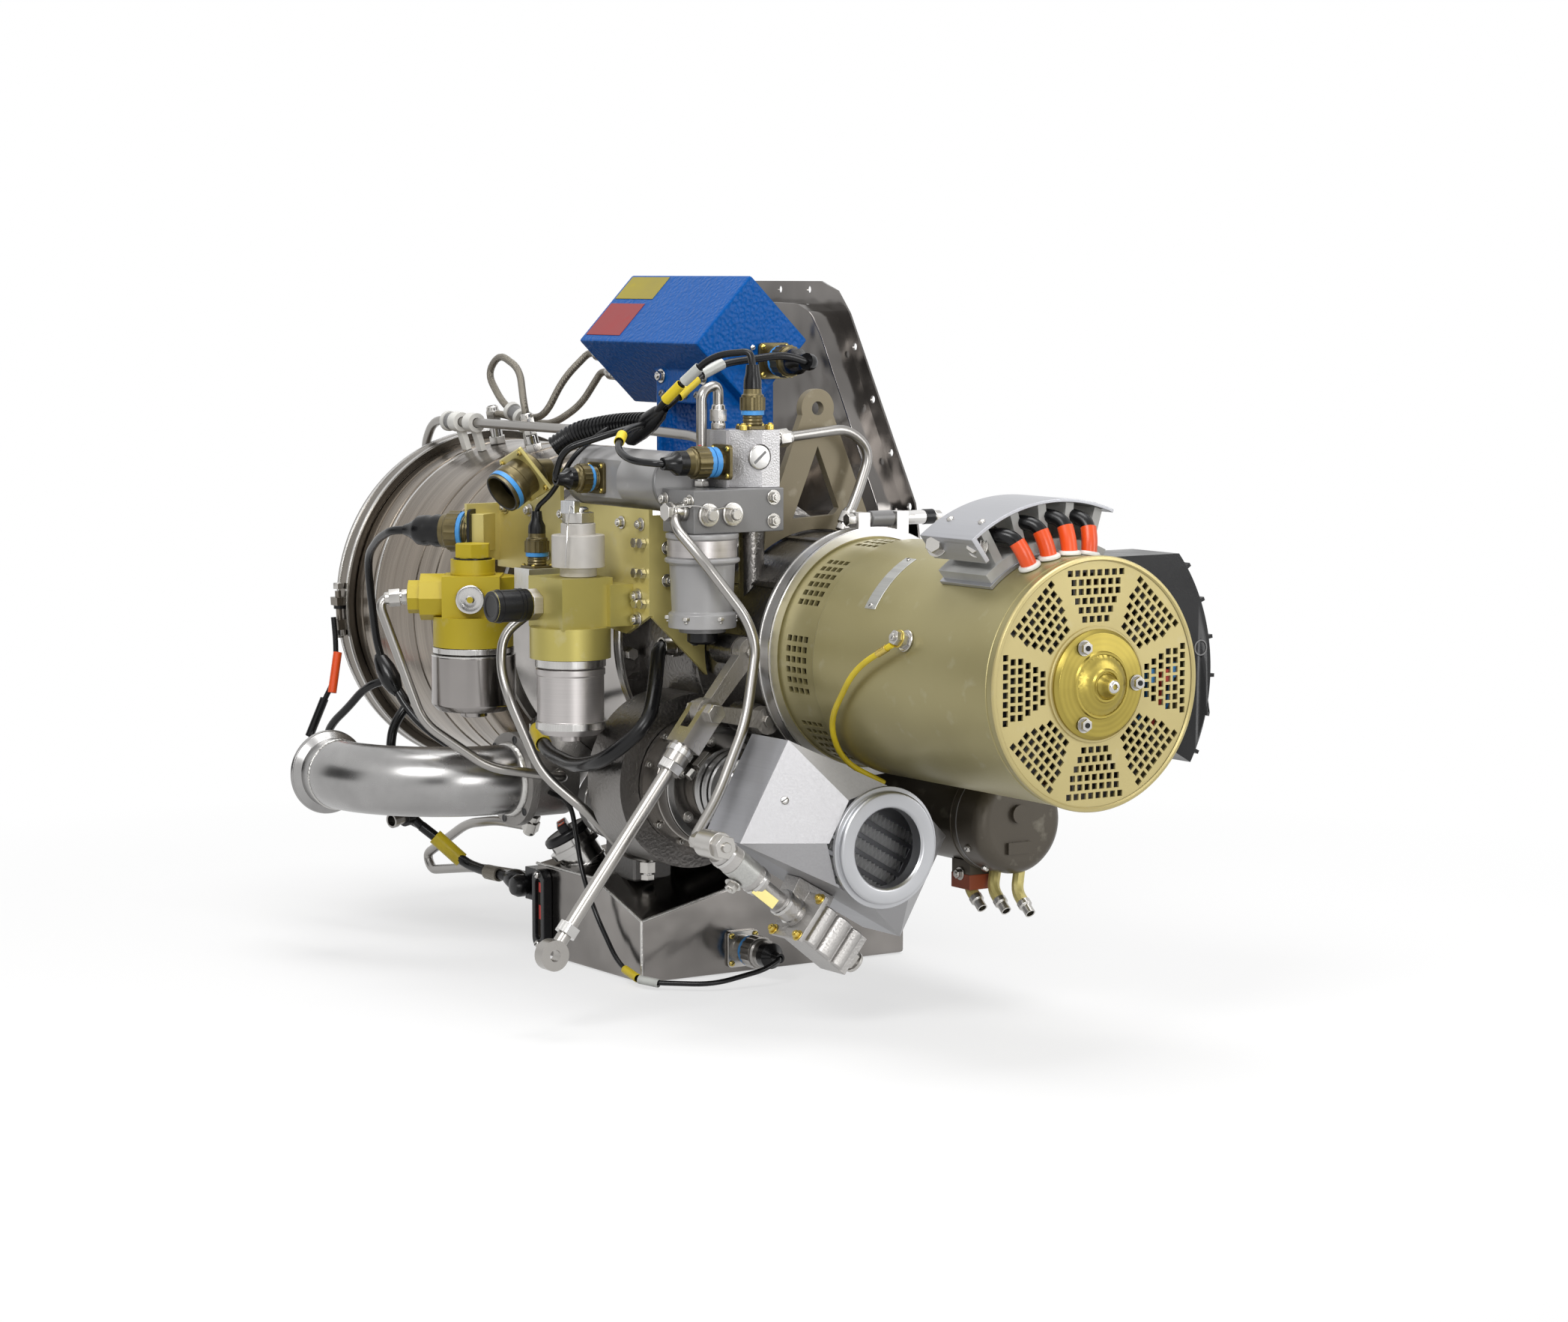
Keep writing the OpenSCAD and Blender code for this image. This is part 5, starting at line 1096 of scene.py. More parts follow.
def connector(piece, place, along, r, length, shell="plug_olive", flange="plug_olive",
              boot="black_rubber", cable=4.0):
    spot, way = Vector(place), Vector(along).normalized()
    low, high, back = 0.30 * length, 0.62 * length, 0.80 * length
    ring = low + 0.07 * length
    square_flange(piece, r, flange, spot, way)
    threads = [(r * 0.9 + (0.5 if k % 2 else 0), FLANGE + k * (low - FLANGE) / 7) for k in range(8)]
    piece.lathe([(0, 2.5)] + threads + [(0, low)], shell, spot, way, 24, 0)
    piece.lathe([(r * 0.8, low - 1), (r + 1.0, low - 1), (r + 1.0, ring), (r * 0.8, ring)],
                "blue_band", spot, way, 28, 0.2)
    piece.knurled(r + 2, high - ring, shell, spot + way * ring, way)
    piece.lathe([(r + 0.6, high), (r + 0.6, high + 2), (r - 1, high + 3), (r - 1.5, back),
                 (0, back)], shell, spot, way)
    if boot:
        piece.lathe([(r - 2.2, 0.76 * length), (r - 1.2, 0.79 * length), (r - 1.4, 0.95 * length),
                     (cable + 2.2, length + 3), (cable + 1.4, length + 11),
                     (cable - 0.5, length + 11)], boot, spot, way, 24, 0)


plugs = Piece("connector_set", "olive_plug")
connector(plugs, (534.2, 42, 243), FRONT, 13, 44, cable=6)
plugs.tube([(574, 42, 243), (588, 42, 243), (598, 40, 243), (600, 34, 244)], 7.6, 8, "black_rubber")
connector(plugs, (682, -76, 189.2), UP, 9, 44)
connector(plugs, (550, -151.2, 144), NEAR, 11, 32)
connector(plugs, (683, -106.2, 162.2), NEAR, 12, 50)
plugs.lathe(hoop(11, 13, 8, 13), "blue_band", (683, -106.2, 162.2), NEAR)
plugs.lathe(disc(1.6, 0, 0.8), "red_mark", (683, -130, 176.3), UP, 12)
plug_at, plug_way = Vector((379.8, -176, 88)), Vector((-0.8, -0.6, 0))
connector(plugs, plug_at, plug_way, 17, 44, flange="black_plastic", boot=None)
plugs.lathe([(9, 33), (14.6, 34), (15, 42), (13.2, 47), (14.2, 51), (13.4, 60), (9.4, 65),
             (6.4, 70), (4.6, 75), (3, 75)], "black_rubber", plug_at, plug_way, 32, 0)
plugs.block((34, 34, 12), "bracket_olive", plug_at - plug_way * 12, plug_way)
connector(plugs, (494, -181, 62), UP, 9, 40, cable=3)
plugs.block((26, 39.8, 19), "turned_alloy", (494, -177.1, 44))
connector(plugs, (577.2, -20, -281), FRONT, 13, 52, "tube_steel", "plated_steel", cable=3)
print("seven plugs")

# %% [markdown]
# The igniter leads end in plain steel unions, and the loom leaves the bracket through a big open
# plug with a rubber face. They join the same piece.

# %% Unions and the loom's plug
for place in ((327.8, -8, 246), (327.8, 6, 228)):
    plugs.hexagon(15, 6, place, -FRONT)
    plugs.lathe([(0, 5), (6.2, 5), (6.2, 10), (7, 11), (7, 18), (5.4, 21), (4, 25), (3, 25)],
                "plated_steel", place, -FRONT)
for x, angle in ((246, 15), (150, 10)):
    foot, way = polar(x, 158.4, angle), polar(0, 1, angle)
    plugs.hexagon(15, 7, foot, way)
    plugs.lathe([(6, 7), (6, 15.6), (0, 15.6)], "bright_steel", foot, way)

PLUG_TURN = 20
loom_mouth, loom_way = Vector((480, -176.2, 150)), Vector((0.08, -0.84, -0.53)).normalized()
plugs.lathe(disc(12, 0, 20), "plug_olive", (474, -157.2, 146), NEAR)
plugs.block((46, 46, 3.4), "bracket_olive", loom_mouth + loom_way * 8, loom_way, PLUG_TURN, 0.8)
for a, b in product((-19, 19), repeat=2):
    corner = facing(loom_way, PLUG_TURN).to_3x3() @ Vector((a, b, 0))
    plugs.screw(loom_mouth + loom_way * 11.4 + corner, loom_way, 2.6, "gilt")
for profile, surface, steps, edge in (
        ([(0, 0), (17.6, 0), (19, 2), (19, 8), (18, 9), (18, 22), (19.4, 23), (19.4, 30),
          (18.6, 31), (18.6, 40), (16.6, 40), (16.4, 22), (0, 22)], "plug_olive", 40, BREAK),
        (hoop(18.7, 19.3, 32, 36.5), "blue_band", 40, 0.1),
        (disc(16, 22.2, 25), "black_rubber", 32, BREAK),
        ([(16.4, 24), (16.7, 39.6), (18.4, 40.2), (17.4, 40.4), (16.2, 39.8)], "black_plastic", 40,
         0)):
    plugs.lathe(profile, surface, loom_mouth, loom_way, steps, edge)
plugs.done("connectors")

# %% [markdown]
# The generator is a turned and plated barrel. Its front edge is rolled over the screen, a plain
# strip lies round its flank where a data plate would be, and rings and a nut dress the hub. Blue
# and red winding ends show behind the screen's holes.

# %% Generator trim
def curved_plate(piece, x, radius, angles, surface, steps=16):
    """A bent strip round the rotor axis: a small oblong that is spun through an angle."""
    part = bmesh.new()
    corners = [part.verts.new(polar(x[a], radius[r], angles[0]))
               for a, r in ((0, 0), (1, 0), (1, 1), (0, 1))]
    face = part.faces.new(corners)
    bmesh.ops.spin(part, geom=[face, *face.edges, *corners], cent=(0, 0, 0), axis=FRONT,
                   angle=math.radians(angles[1] - angles[0]), steps=steps)
    bmesh.ops.recalc_face_normals(part, faces=part.faces)
    piece.broken(part, 0.2)
    piece.add(part, surface)


trim = Piece("generator_trim", "olive_paint")
trim.ring(1060, [(97.4, -1.5), (100.6, -2.5), (101.6, -1), (101.6, 0.4), (100.8, 1.6), (98.6, 2.0),
                 (97.4, 0.6)], "screen_olive", 128)
trim.ring(1048, hoop(99.8, 100.6, 0, 2.6, 0.4), "generator_olive", 128)
trim.ring(1060.4, [(43.8, -0.4), (46.4, -0.4), (46.4, 1.0), (45.6, 1.6), (43.8, 1.6)],
          "screen_olive", 64)
curved_plate(trim, (866, 881), (99.9, 100.5), (27, 60), "plain_strip")
for angle in (28.5, 58.5):
    trim.screw(polar(873.5, 100.4, angle), polar(0, 1, angle), 1.8)
for r, x, h in ((25.5, 1067.8, 1.6), (12.2, 1073.6, 1.4)):
    trim.ring(x, [(r - 2.4, -0.4), (r - 1, h), (r + 0.6, h), (r + 1.8, -0.4)], "hub_gold")
trim.lathe([(0, 0), (5.4, 0), (5.4, 2), (4.2, 3.6), (2.2, 3.6), (2.2, 1.2), (0, 1.2)],
           "turned_steel", (1082, 0, 0), FRONT, 20)
for angle in (30, 150, 270):
    spot = polar(1060, 35, angle)
    trim.lathe(hoop(4.6, 6.4, 8.0, 8.8), "plated_steel", spot, FRONT, 20, 0.1)
    trim.lathe(disc(2.2, 13.2, 13.6), "black_plastic", spot, FRONT, 12, 0)
for place, surface in (((1050, 61, 2), "blue_band"), ((1050, 85, 6), "blue_band"),
                       ((1050, 75, 1), "red_mark")):
    trim.block((9, 12, 5), surface, place, FRONT)
    wire = [Vector(place) + Vector(step) for step in ((1, 0, -4), (0, -2, -22), (-6, -6, -40))]
    trim.tube(wire, 2.0, 8, surface, 3)
trim.lathe(hoop(5.6, 6.6, 0, 0.6), "dark_enamel", (1020, 140, 18), FRONT, 24, 0)
trim.done()

# %% [markdown]
# A yellow earth lead ends at a stud on the barrel. Four output cables leave the terminal block in
# orange boots and go down into the barrel through white grommets. The terminal cover has screws
# and a curved foot.

# %% Earth lead and terminals
STUD_ANGLE = 73
stud_way = polar(0, 1, STUD_ANGLE)
stud_foot = polar(938, 100.3, STUD_ANGLE)
bond = Piece("earth_lead", "yellow_lead")
bond.lathe(disc(9, 0, 1.6), "plated_steel", stud_foot, stud_way)
bond.hexagon(12, 6, polar(938, 101.9, STUD_ANGLE), stud_way)
bond.lathe(disc(7.4, 7.5, 8.6), "gilt", stud_foot, stud_way)
bond.hexagon(11, 5, polar(938, 108.9, STUD_ANGLE), stud_way, 20)
bond.lathe([(3.2, 13), (3.2, 15.4), (2.6, 16), (0, 16)], "plated_steel", stud_foot, stud_way, 16)
bond_route = [polar(935, 111, 76), polar(888, 112, 88), polar(833, 110, 115), polar(810, 109, 140),
              polar(810, 108, 165)]
bond.tube(bond_route, 2.5, 30, "yellow_sleeve")
bond.sleeve(bond_route, 30, 0.06, 3.2, 13, "gilt")
bond.done("ground_lead")

outputs = Piece("output_leads", "orange_rubber")
for angle in (24, 12.5, 1, -10):
    out, post, hole = polar(0, 1, angle), polar(980, 112, angle), polar(1028, 102, angle)
    outputs.tube([polar(984, 127, angle + 5), polar(1006, 131.5, angle + 3),
                  polar(1021, 127, angle), hole], 6.0, 16, "black_rubber")
    outputs.tube([polar(1022.5, 122.5, angle), polar(1026.4, 113, angle), hole], 6.6, 10,
                 "orange_boot")
    outputs.lathe([(6.2, 0), (9.2, 0), (9.2, 1.8), (8.0, 3.4), (6.2, 3.4)], "white_plastic",
                  polar(1028, 100.4, angle), out)
    outputs.hexagon(13, 6, post, out)
    outputs.lathe([(0, 5), (4, 5), (4, 16), (3, 17), (0, 17)], "gilt", post, out, 16)
outputs.done("terminal_leads")

posts = Piece("terminal_trim", "machined_alloy")
for x, angle in product((958, 1000), (28, -18)):
    posts.lathe([(3.2, 0), (3.0, 1.2), (1.6, 1.9), (0, 2)], "plated_steel", polar(x, 144, angle),
                polar(0, 1, angle), 16, 0)
foot_way = Vector((0.42, -0.86, 0.28))
for place in ((1004, -73.5, 108), (958, -80, 106)):
    posts.lathe(disc(9, 0, 1.8), "plated_steel", place, foot_way)
    posts.hexagon(12.5, 7, Vector(place) + foot_way * 1.8, foot_way)
curved_plate(posts, (946, 1014), (100.3, 103.5), (-27, 42), "cover_alloy", 24)
posts.done()

# %% [markdown]
# Both filters hang from a folded bracket. The heads are machined castings; a hexagon cap with a
# rubber ring, a turned plug and a black plastic connector stick out of them. The bowls are turned:
# their bright bands are rings of their own, because the light catches them.

# %% Filter trim
filters = Piece("filter_trim", "bright_steel")
fuel_at, oil_at = Vector((411, -200, 0)), Vector((584, -200, 0))
for where, profile, surface, steps, edge in (
        (fuel_at, hoop(34.2, 36.8, -12.6, -17.6), "turned_steel", 64, 0.3),
        (fuel_at, hoop(36, 38.2, -18.4, -21.2, -0.8), "turned_steel", 64, 0),
        (fuel_at, hoop(15, 17.4, 65.2, 67.6, 0.4), "black_rubber", 40, 0),
        (fuel_at, hoop(19, 20.5, 52.4, 54.8, 0.4), "fuel_yellow", 40, 0),
        (oil_at, hoop(27.2, 30.6, -8.6, -15.4), "turned_steel", 64, 0.3),
        (oil_at, hoop(28.6, 30.4, -62.5, -69.6, -0.4), "turned_steel", 64, 0.3)):
    filters.lathe(profile, surface, where, UP, steps, edge)
disc_at, disc_way = fuel_at + Vector((20.9, -13.8, 32)), Vector((0.834, -0.552, 0))
filters.lathe([(0, 6), (13.2, 6), (13.2, 8), (12.2, 9), (9, 9), (7.5, 8.2), (3.6, 8.2), (3.2, 9.2),
               (0, 9.2)], "turned_steel", disc_at, disc_way, 40)
filters.lathe(disc(2.9, 9, 9.7), "fuel_yellow", disc_at, disc_way, 16, 0)
sensor_at = Vector((568, -223, 38))
filters.hexagon(24, 9, sensor_at + NEAR, NEAR, 0, "bowl_alloy")
filters.lathe([(0, 10), (12.6, 10), (14, 12), (14, 43), (13, 46.4), (10, 46.4), (9.4, 45.6),
               (0, 45.6)], "black_plastic", sensor_at, NEAR, 36)
for h in (16, 20, 38):
    filters.lathe(hoop(13.5, 14.6, h, h + 2, 0.4), "black_plastic", sensor_at, NEAR, 36, 0)
filters.hexagon(25, 9, (588, -194, 108.5), UP, 12)
filters.lathe([(8, 9), (9.4, 9), (9.4, 12), (7, 13.5), (0, 13.5)], "bright_steel",
              (588, -194, 108.5), UP)
filters.block((14, 9, 11), "turned_alloy", (592, -204, 117), UP, 25)
filters.tube([(597, -207, 124), (605, -214, 112), (606, -216, 92), (604, -216, 72)], 0.7, 8,
             "bright_steel", 2)
for x, z in product((604, 626), (26, 46)):
    filters.bolt((x, -157.4, z), NEAR, 8, 4.5)
for x, z in ((396, 110), (440, 110), (470, 72), (500, 110), (600, 108), (632, 108), (520, 40),
             (560, 30)):
    filters.bolt((x, -157.3, z), NEAR, 7, 4)
for y, z in ((-140, 88), (-140, 60), (-120, 40), (-112, 8)):
    filters.bolt((646, y, z), FRONT, 7, 4)
filters.done()

# %% [markdown]
# The igniter box wears two plates in the photograph. They stay as plain coloured fields. Its saddle
# is held by a row of screws. The valve block has a slotted plug, small brass caps and a hexagon on
# its pipe; the manifold below has two locked plugs, tied with wire so that they can't turn.

# %% Igniter box and valve trim
boxes = Piece("igniter_trim", "blue_paint")
tilt = math.radians(46)
box_out = Vector((0, -math.sin(tilt), math.cos(tilt)))
box_up = Vector((0, math.cos(tilt), math.sin(tilt)))
face_middle = Vector((0, 20, 260)) + box_out * 42.4
for size, surface, x, lift in (((66, 28, 0.7), "plate_yellow", 367, 25),
                               ((60, 40, 0.7), "plate_red", 364, -15)):
    boxes.block(size, surface, face_middle + FRONT * x + box_up * lift, box_out, 0, 0.2)
boxes.screw((534.2, 20, 255), FRONT, 2.6)
for x in (436, 456, 476, 496):
    boxes.screw((x, -14.3, 212), NEAR, 3.6, "dark_enamel")
for x in (434, 506):
    boxes.bolt((x, -14.3, 228), NEAR, 8, 4)
boxes.done()

valves = Piece("valve_trim", "machined_alloy")
slotted = (700, -80, 166)
valves.lathe([(0, -3.6), (10.6, -3.6), (10.6, -0.6), (9.8, 0.2), (0, 0.2)], "turned_steel", slotted,
             FRONT, 32)
# The slot is a dark bar on the plug: painted shade where a cut would be.
valves.block((15, 2.2, 0.5), "dark_enamel", slotted, FRONT, 40, 0)
for x, y in ((694, -93), (694, -66), (676, -64), (660, -64), (660, -100)):
    valves.lathe([(0, 0), (3.4, 0), (3.4, 4), (2.4, 5), (0, 5)], "gilt", (x, y, 189), UP, 16)
    valves.hexagon(4, 1, (x, y, 194), UP, 0, "gilt")
for y in (-136, -112):
    valves.lathe([(6, -0.4), (10.4, -0.4), (10.4, 2.4), (9.4, 3.2), (6, 3.2)], "plated_steel",
                 (705, y, 119), FRONT)
    valves.lathe([(0, 7), (5.2, 7), (4.4, 9.4), (0, 9.4)], "plated_steel", (705.2, y, 119), FRONT,
                 16)
lock_wire = [(712, -112, 123), (713, -124, 126), (712, -136, 123), (709, -148, 128),
             (698, -166, 126)]
valves.tube(lock_wire, 0.7, 8, "bright_steel", 2)
for x in (660, 700):
    valves.bolt((x, -150.2, 131), NEAR, 7, 4)
for z in (112, 132):
    valves.bolt((705.2, -70, z), FRONT, 8, 4)
bowl_at = Vector((688, -131, 102.8))
valves.lathe([(28.6, -4.6), (29.8, -5.2), (29.8, -19.4), (28.6, -19.8)], "bowl_alloy", bowl_at, UP,
             48, 0)
valves.lathe(disc(20, -80, -84), "dark_enamel", bowl_at, UP, 32)
valves.lathe([(0, -84), (13, -84), (13, -92), (10, -94), (0, -94)], "black_plastic", bowl_at, UP)
for c, s in spaced(6, 0):
    valves.bolt((bowl_at.x + 29 * c, bowl_at.y + 29 * s, 33.2), -UP, 6, 3, washer=0)
for x in (504, 650):
    valves.ring(x, hoop(25.8, 26.7, 0, 4, 0.4), "dark_enamel", 48, (-131, 144))
valves.done()

# %% [markdown]
# Under the generator hangs the oil cooler. Fine zigzag fins stand between its oil bars; each row is
# one folded strip, drawn as a zigzag outline with a little thickness. The bellows that feed it are
# held by two hose clips.

# %% Cooler trim
COOLER_TILT = math.radians(30)
FIN_PITCH, FIN_TALL, FIN_THICK, FIN_FOLDS = 4.6, 8.6, 0.45, 57
FAN_AXIS = (-108.5, -115.8)


def on_cooler(x, across, up_by):
    """A place in the tilted cooler: along the unit, its long side and its short side."""
    c, s = math.cos(COOLER_TILT), math.sin(COOLER_TILT)
    return Vector((x, -69 + across * c + up_by * s, -149 - across * s + up_by * c))


cooler = Piece("cooler_trim", "machined_alloy")
folds = [(-64.4 + FIN_PITCH / 2 * k, FIN_TALL * (k % 2)) for k in range(FIN_FOLDS)]
strip = folds + [(x, y + FIN_THICK) for x, y in reversed(folds)]
# The fins' finish carries painted light, since they lie in the cooler's shade.
for row in range(6):
    cooler.plate(strip, 40, "fin_alloy_painted_light", on_cooler(771, 0, -39.3 + 13 * row), FRONT, -30, 0)
face_at = on_cooler(825.5, -79.4, 0)
face_way = on_cooler(0.685, -0.729, 0) - on_cooler(0, 0, 0)
cooler.screw(face_at, face_way, 3.4)
cooler.lathe(disc(5.4, 0, 0.5), "plated_steel", face_at, face_way, 20, 0)
for x in (684, 747):
    clip = Vector((x, *FAN_AXIS))
    cooler.ring(x, hoop(28, 29.4, 0, 8, 0.3), "strip_steel", 64, FAN_AXIS)
    cooler.block((9, 16, 7), "plated_steel", clip + Vector((4, -20, 21.5)), (0, -0.68, 0.73))
    cooler.hexagon(7, 8, clip + Vector((4, -31, 16)), (0, -0.73, -0.68))
for v, w in product((-84, 84), (-38, 38)):
    cooler.bolt(on_cooler(756.8, v, w), -FRONT, 8, 4)
for k in range(5):
    r = 33 + k % 2
    cooler.ring(692 + 5.4 * k, [(27, 0), (r, 0.8), (r + 1.4, 2.2), (r, 3.6), (27, 4.4)],
                "duct_steel", 72, FAN_AXIS)
cooler.done()

ring = Piece("cooler_ring_turned", "machined_alloy")
ring.lathe([(33, 0.2), (45.6, 0.2), (47, 1.2), (47, 5), (50.8, 5.3), (50.8, 8.7), (47, 9),
            (47, 12.6), (46, 13.9), (44.4, 14.1), (36, 14.1), (34.2, 13.2), (33, 11.6), (33, 0.2)],
           "ring_alloy", on_cooler(861.2, 1, 1), FRONT, 96, 0.25)
ring.done("cooler_ring")

# %% [markdown]
# The pressure regulator in front of the cooler is a stack of turned pieces and a small casting on
# a gold plate. All of it stands on one slanting line, so places are given along that line.

# %% Regulator trim
regulator = Piece("regulator_trim", "bright_steel")
reg_from, reg_way = Vector((820, -204, -141)), Vector((0, 45, -36)).normalized()
rib_way = Vector((0, 0.625, 0.781))


def on_regulator(t):
    return reg_from + reg_way * t


reg_end = reg_from + FRONT * 11
regulator.lathe(disc(11.5, -13, 11), "plated_steel", reg_from, FRONT, 32)
regulator.hexagon(18, 8, reg_end, FRONT, 15)
regulator.lathe([(0, 8), (4.5, 8), (4, 10.5), (0, 10.5)], "plated_steel", reg_end, FRONT, 16)
for t, r in ((12, 12.8), (50, 12.8), (84, 12.2), (98, 12.4)):
    regulator.lathe(hoop(r - 1.4, r, 0, 4, 0.5), "turned_steel", on_regulator(t), reg_way, 40, 0)
regulator.lathe(hoop(11.5, 12.5, 0, 21, 0.2), "plain_strip", on_regulator(24), reg_way, 40, 0)
regulator.plate([(-12, 0), (10, -2), (11, 7), (-10, 9)], 0.7, "bracket_olive",
                on_regulator(58) + Vector((11, -4, -12)), (0.93, -0.3, 0.2), -35, 0.1)
regulator.block((42, 42, 2.4), "bracket_olive", on_regulator(106.4), reg_way, 0, 0.4)
for a, b in product((-19, 17), (-18, 18)):
    corner = facing(reg_way).to_3x3() @ Vector((a, b, 0))
    regulator.bolt(on_regulator(104) + corner, -reg_way, 6, 3.4, "gilt")
for t, b in product((118, 150), (-9, 9)):
    regulator.screw(on_regulator(t) + FRONT * 18.4 + rib_way * b, FRONT)
for t, r in ((119, 6.5), (135, 8.5), (152, 6.5)):
    regulator.lathe([(0, -17.6), (r - 1, -17.6), (r, -16.6), (r, 16.6), (r - 1, 17.6), (0, 17.6)],
                    "pale_casting", on_regulator(t) + FRONT * 16.5, rib_way, 28, 0)
regulator.hexagon(20, 8, on_regulator(165), reg_way, 10)
regulator.lathe([(6, 12), (9.4, 12), (9.4, 15), (8, 16), (6, 16)], "plated_steel",
                on_regulator(164), reg_way)
regulator.bolt(on_regulator(30) + Vector((-2, -3, -16)), (0.2, -0.7, -0.68), 9, 5)
regulator.done()

# %% [markdown]
# The bleed duct is welded from pieces: a flared mouth, a bend and a flange with bolt holes, which
# are black discs of painted shade. The weld beads are thin rings.

# %% Bleed duct trim
duct = Piece("bleed_trim", "bright_steel")
for place, way, profile, surface in (
        ((269, -265, -140), FRONT, [(31.2, 0), (32.5, 0.4), (33.1, 1.6), (32.5, 2.8), (31.2, 3.2)],
         "weld_bead_and_highlight"),
        ((248, -265, -140), FRONT, [(36, -1), (38.4, -1.4), (39.2, 0.2), (38.4, 2.2), (36.6, 3)],
         "duct_steel"),
        ((386, -150.2, -140), NEAR, [(31.2, 0), (34.6, 0), (34.2, 2.4), (33.0, 4), (31.2, 4.6)],
         "weld_bead_and_highlight")):
    duct.lathe(profile, surface, place, way, 96, 0)
# Each bolt hole is a thin black disc on the flange: painted shade, not a cut.
for c, s in spaced(6, 15):
    hole = (386 + 38.5 * c, -150.1, -140 + 38.5 * s)
    duct.lathe([(0, 0.05), (2.4, 0.05), (3.2, 0.25), (3.6, 0.25), (3.6, 0)], "black_plastic", hole,
               NEAR, 16, 0)
duct.done()

# %% [markdown]
# The tank has a sight gauge with red marks, welded seams and a sensor block. The seams are drawn
# lighter than its steel, partly as a painted highlight on its edges. Above it, in deep shadow,
# stand the saddle blocks and a round housing with a bolted flange.

# %% Tank trim
tank = Piece("tank_trim", "bright_steel")
tank.block((9.4, 55, 0.8), "smoked_glass", (409, -130.2, -259), NEAR, 0, 0)
for z, tall in ((-239, 9), (-262, 13)):
    tank.block((5, tall, 0.5), "red_mark", (409, -131.0, z), NEAR, 0, 0)
for z in (-227, -291):
    tank.screw((409, -134.2, z), NEAR, 3.2)
tank.lathe([(19.6, 0), (21.4, 0.6), (21.4, 2.2), (19.6, 3)], "turned_steel",
           (430.5, -95.5, -216.5), (-0.25, -0.45, 0.86), 48, 0)
for z in (-222, -276):
    tank.bolt((390.6, -60, z), -FRONT, 9, 5)
tank.block((26, 36, 30), "black_plastic", (377.5, -104, -256))
tank.lathe([(0, 0), (8, 0), (10.4, 4), (10.4, 10), (8, 15), (0, 17)], "black_rubber",
           (368, -122.2, -243), NEAR, 28, 0)
for x in (436, 520):
    tank.block((22, 150, 66), "dark_casting", (x, 22, -199), UP, 0, 2)
    for y in (-46, 90):
        tank.bolt((x, y, -195), UP, 9, 5)
tank.block((84, 60, 60), "dark_casting", (478, 22, -198), UP, 0, 2)
# Weld seams along the tank's edges, drawn lighter as a painted highlight on those edges.
rear, front = (577, -125, -247), (495, -125, -219)
for seam in ([(577, -125, -302), rear], [rear, front, (392, -125, -219)], [rear, (577, 95, -195)],
             [front, (512, 0, -195)]):
    tank.tube(seam, 1.3, 3, "weld_bead_and_highlight", 3)

housing = (-92, -154)
tank.ring(458, [(0, 0), (26, 0), (30, 3), (33, 10), (33, 84), (38, 86), (38, 93), (30, 95),
                (30, 102), (0, 102)], "dark_casting", 64, housing)
for c, s in spaced(10, 8):
    tank.bolt((551, housing[0] + 34.2 * c, housing[1] + 34.2 * s), FRONT, 5, 3, washer=0)
for x in (480, 500, 520):
    tank.ring(x, hoop(32.8, 34.4, 0, 3.6, 0.6), "turned_steel", 64, housing)
tank.block((50, 40, 40), "dark_casting", (505, -84, -220), UP, 0, 2)
tank.done()

# %% [markdown]
# The filler cap is a black disc with a grip bar and two orange windows. It rides on the cap's own
# body, so that all of it turns when the cap is turned.

# %% Filler cap
cap = Piece("filler_cap_disc", "black_plastic", bodies_of["filler_cap"])
cap_base, cap_way = Vector((423.45, -108.2, -192.14)), Vector((-0.25, -0.45, 0.86)).normalized()
cap_side = Vector((0.874, -0.486, 0))
cap.lathe([(0, -10), (14.6, -10), (14.6, 0), (21.6, 0), (23, 1.4), (23, 5.6), (21.8, 7.4),
           (19, 8.6), (18, 8), (0, 8)], "black_plastic", cap_base, cap_way, 64, 0.3)
cap.plate([(-18, -5), (18, -5), (19, -3.6), (19, 3.6), (18, 5), (-18, 5), (-19, 3.6), (-19, -3.6)],
          7.6, "black_plastic", cap_base + cap_way * 8, cap_way, 0, 1.2)
for k in (-1, 1):
    for size, surface, lift, out in (((8, 6.4, 0.5), "orange_boot", 15.5, 11 * k),
                                     ((3, 3, 0.5), "clear_sleeve", 15.8, 11 * k + 1.6)):
        cap.block(size, surface, cap_base + cap_way * lift + cap_side * out, cap_way, 0, 0.1)
cap.done("filler_cap")

# %% [markdown]
# Two clamp bands with T-bolts hold the drum and the generator. The drum is spun with raised bands,
# and thin bright rings show where its sheets meet. A steel ring closes each end of the compressor
# case.

# %% Clamps and bands
clamps = Piece("clamp_trim", "bright_steel")
clamps.hexagon(11, 8, (745, 38.5, 113), -NEAR, 10)
clamps.lathe(disc(7, 0, 22), "dark_enamel", (745, 2, 113), -NEAR)
clamps.lathe(hoop(4, 6.6, 20, 30), "black_plastic", (745, 38, 113), -NEAR)
clamps.hexagon(9, 6, (745, 70, 113), -NEAR)
clamps.hexagon(10, 7, (745, -22, 113), -NEAR)
for x in (736.4, 751.6):
    clamps.ring(x, [(105.4, 0), (106.8, 0.5), (106.8, 2), (105.4, 2.4)], "turned_steel")
clamps.hexagon(10, 8, (85, -168.6, -31), UP, 10)
clamps.hexagon(9, 6, (85, -170.6, 15), UP)
clamps.lathe(disc(5.5, 0, 9), "black_plastic", (85, -169.6, -4.5), UP, 20)
for x in (75, 92):
    clamps.ring(x, hoop(165.4, 166.9, 0, 3, 0.5), "turned_steel", 128)
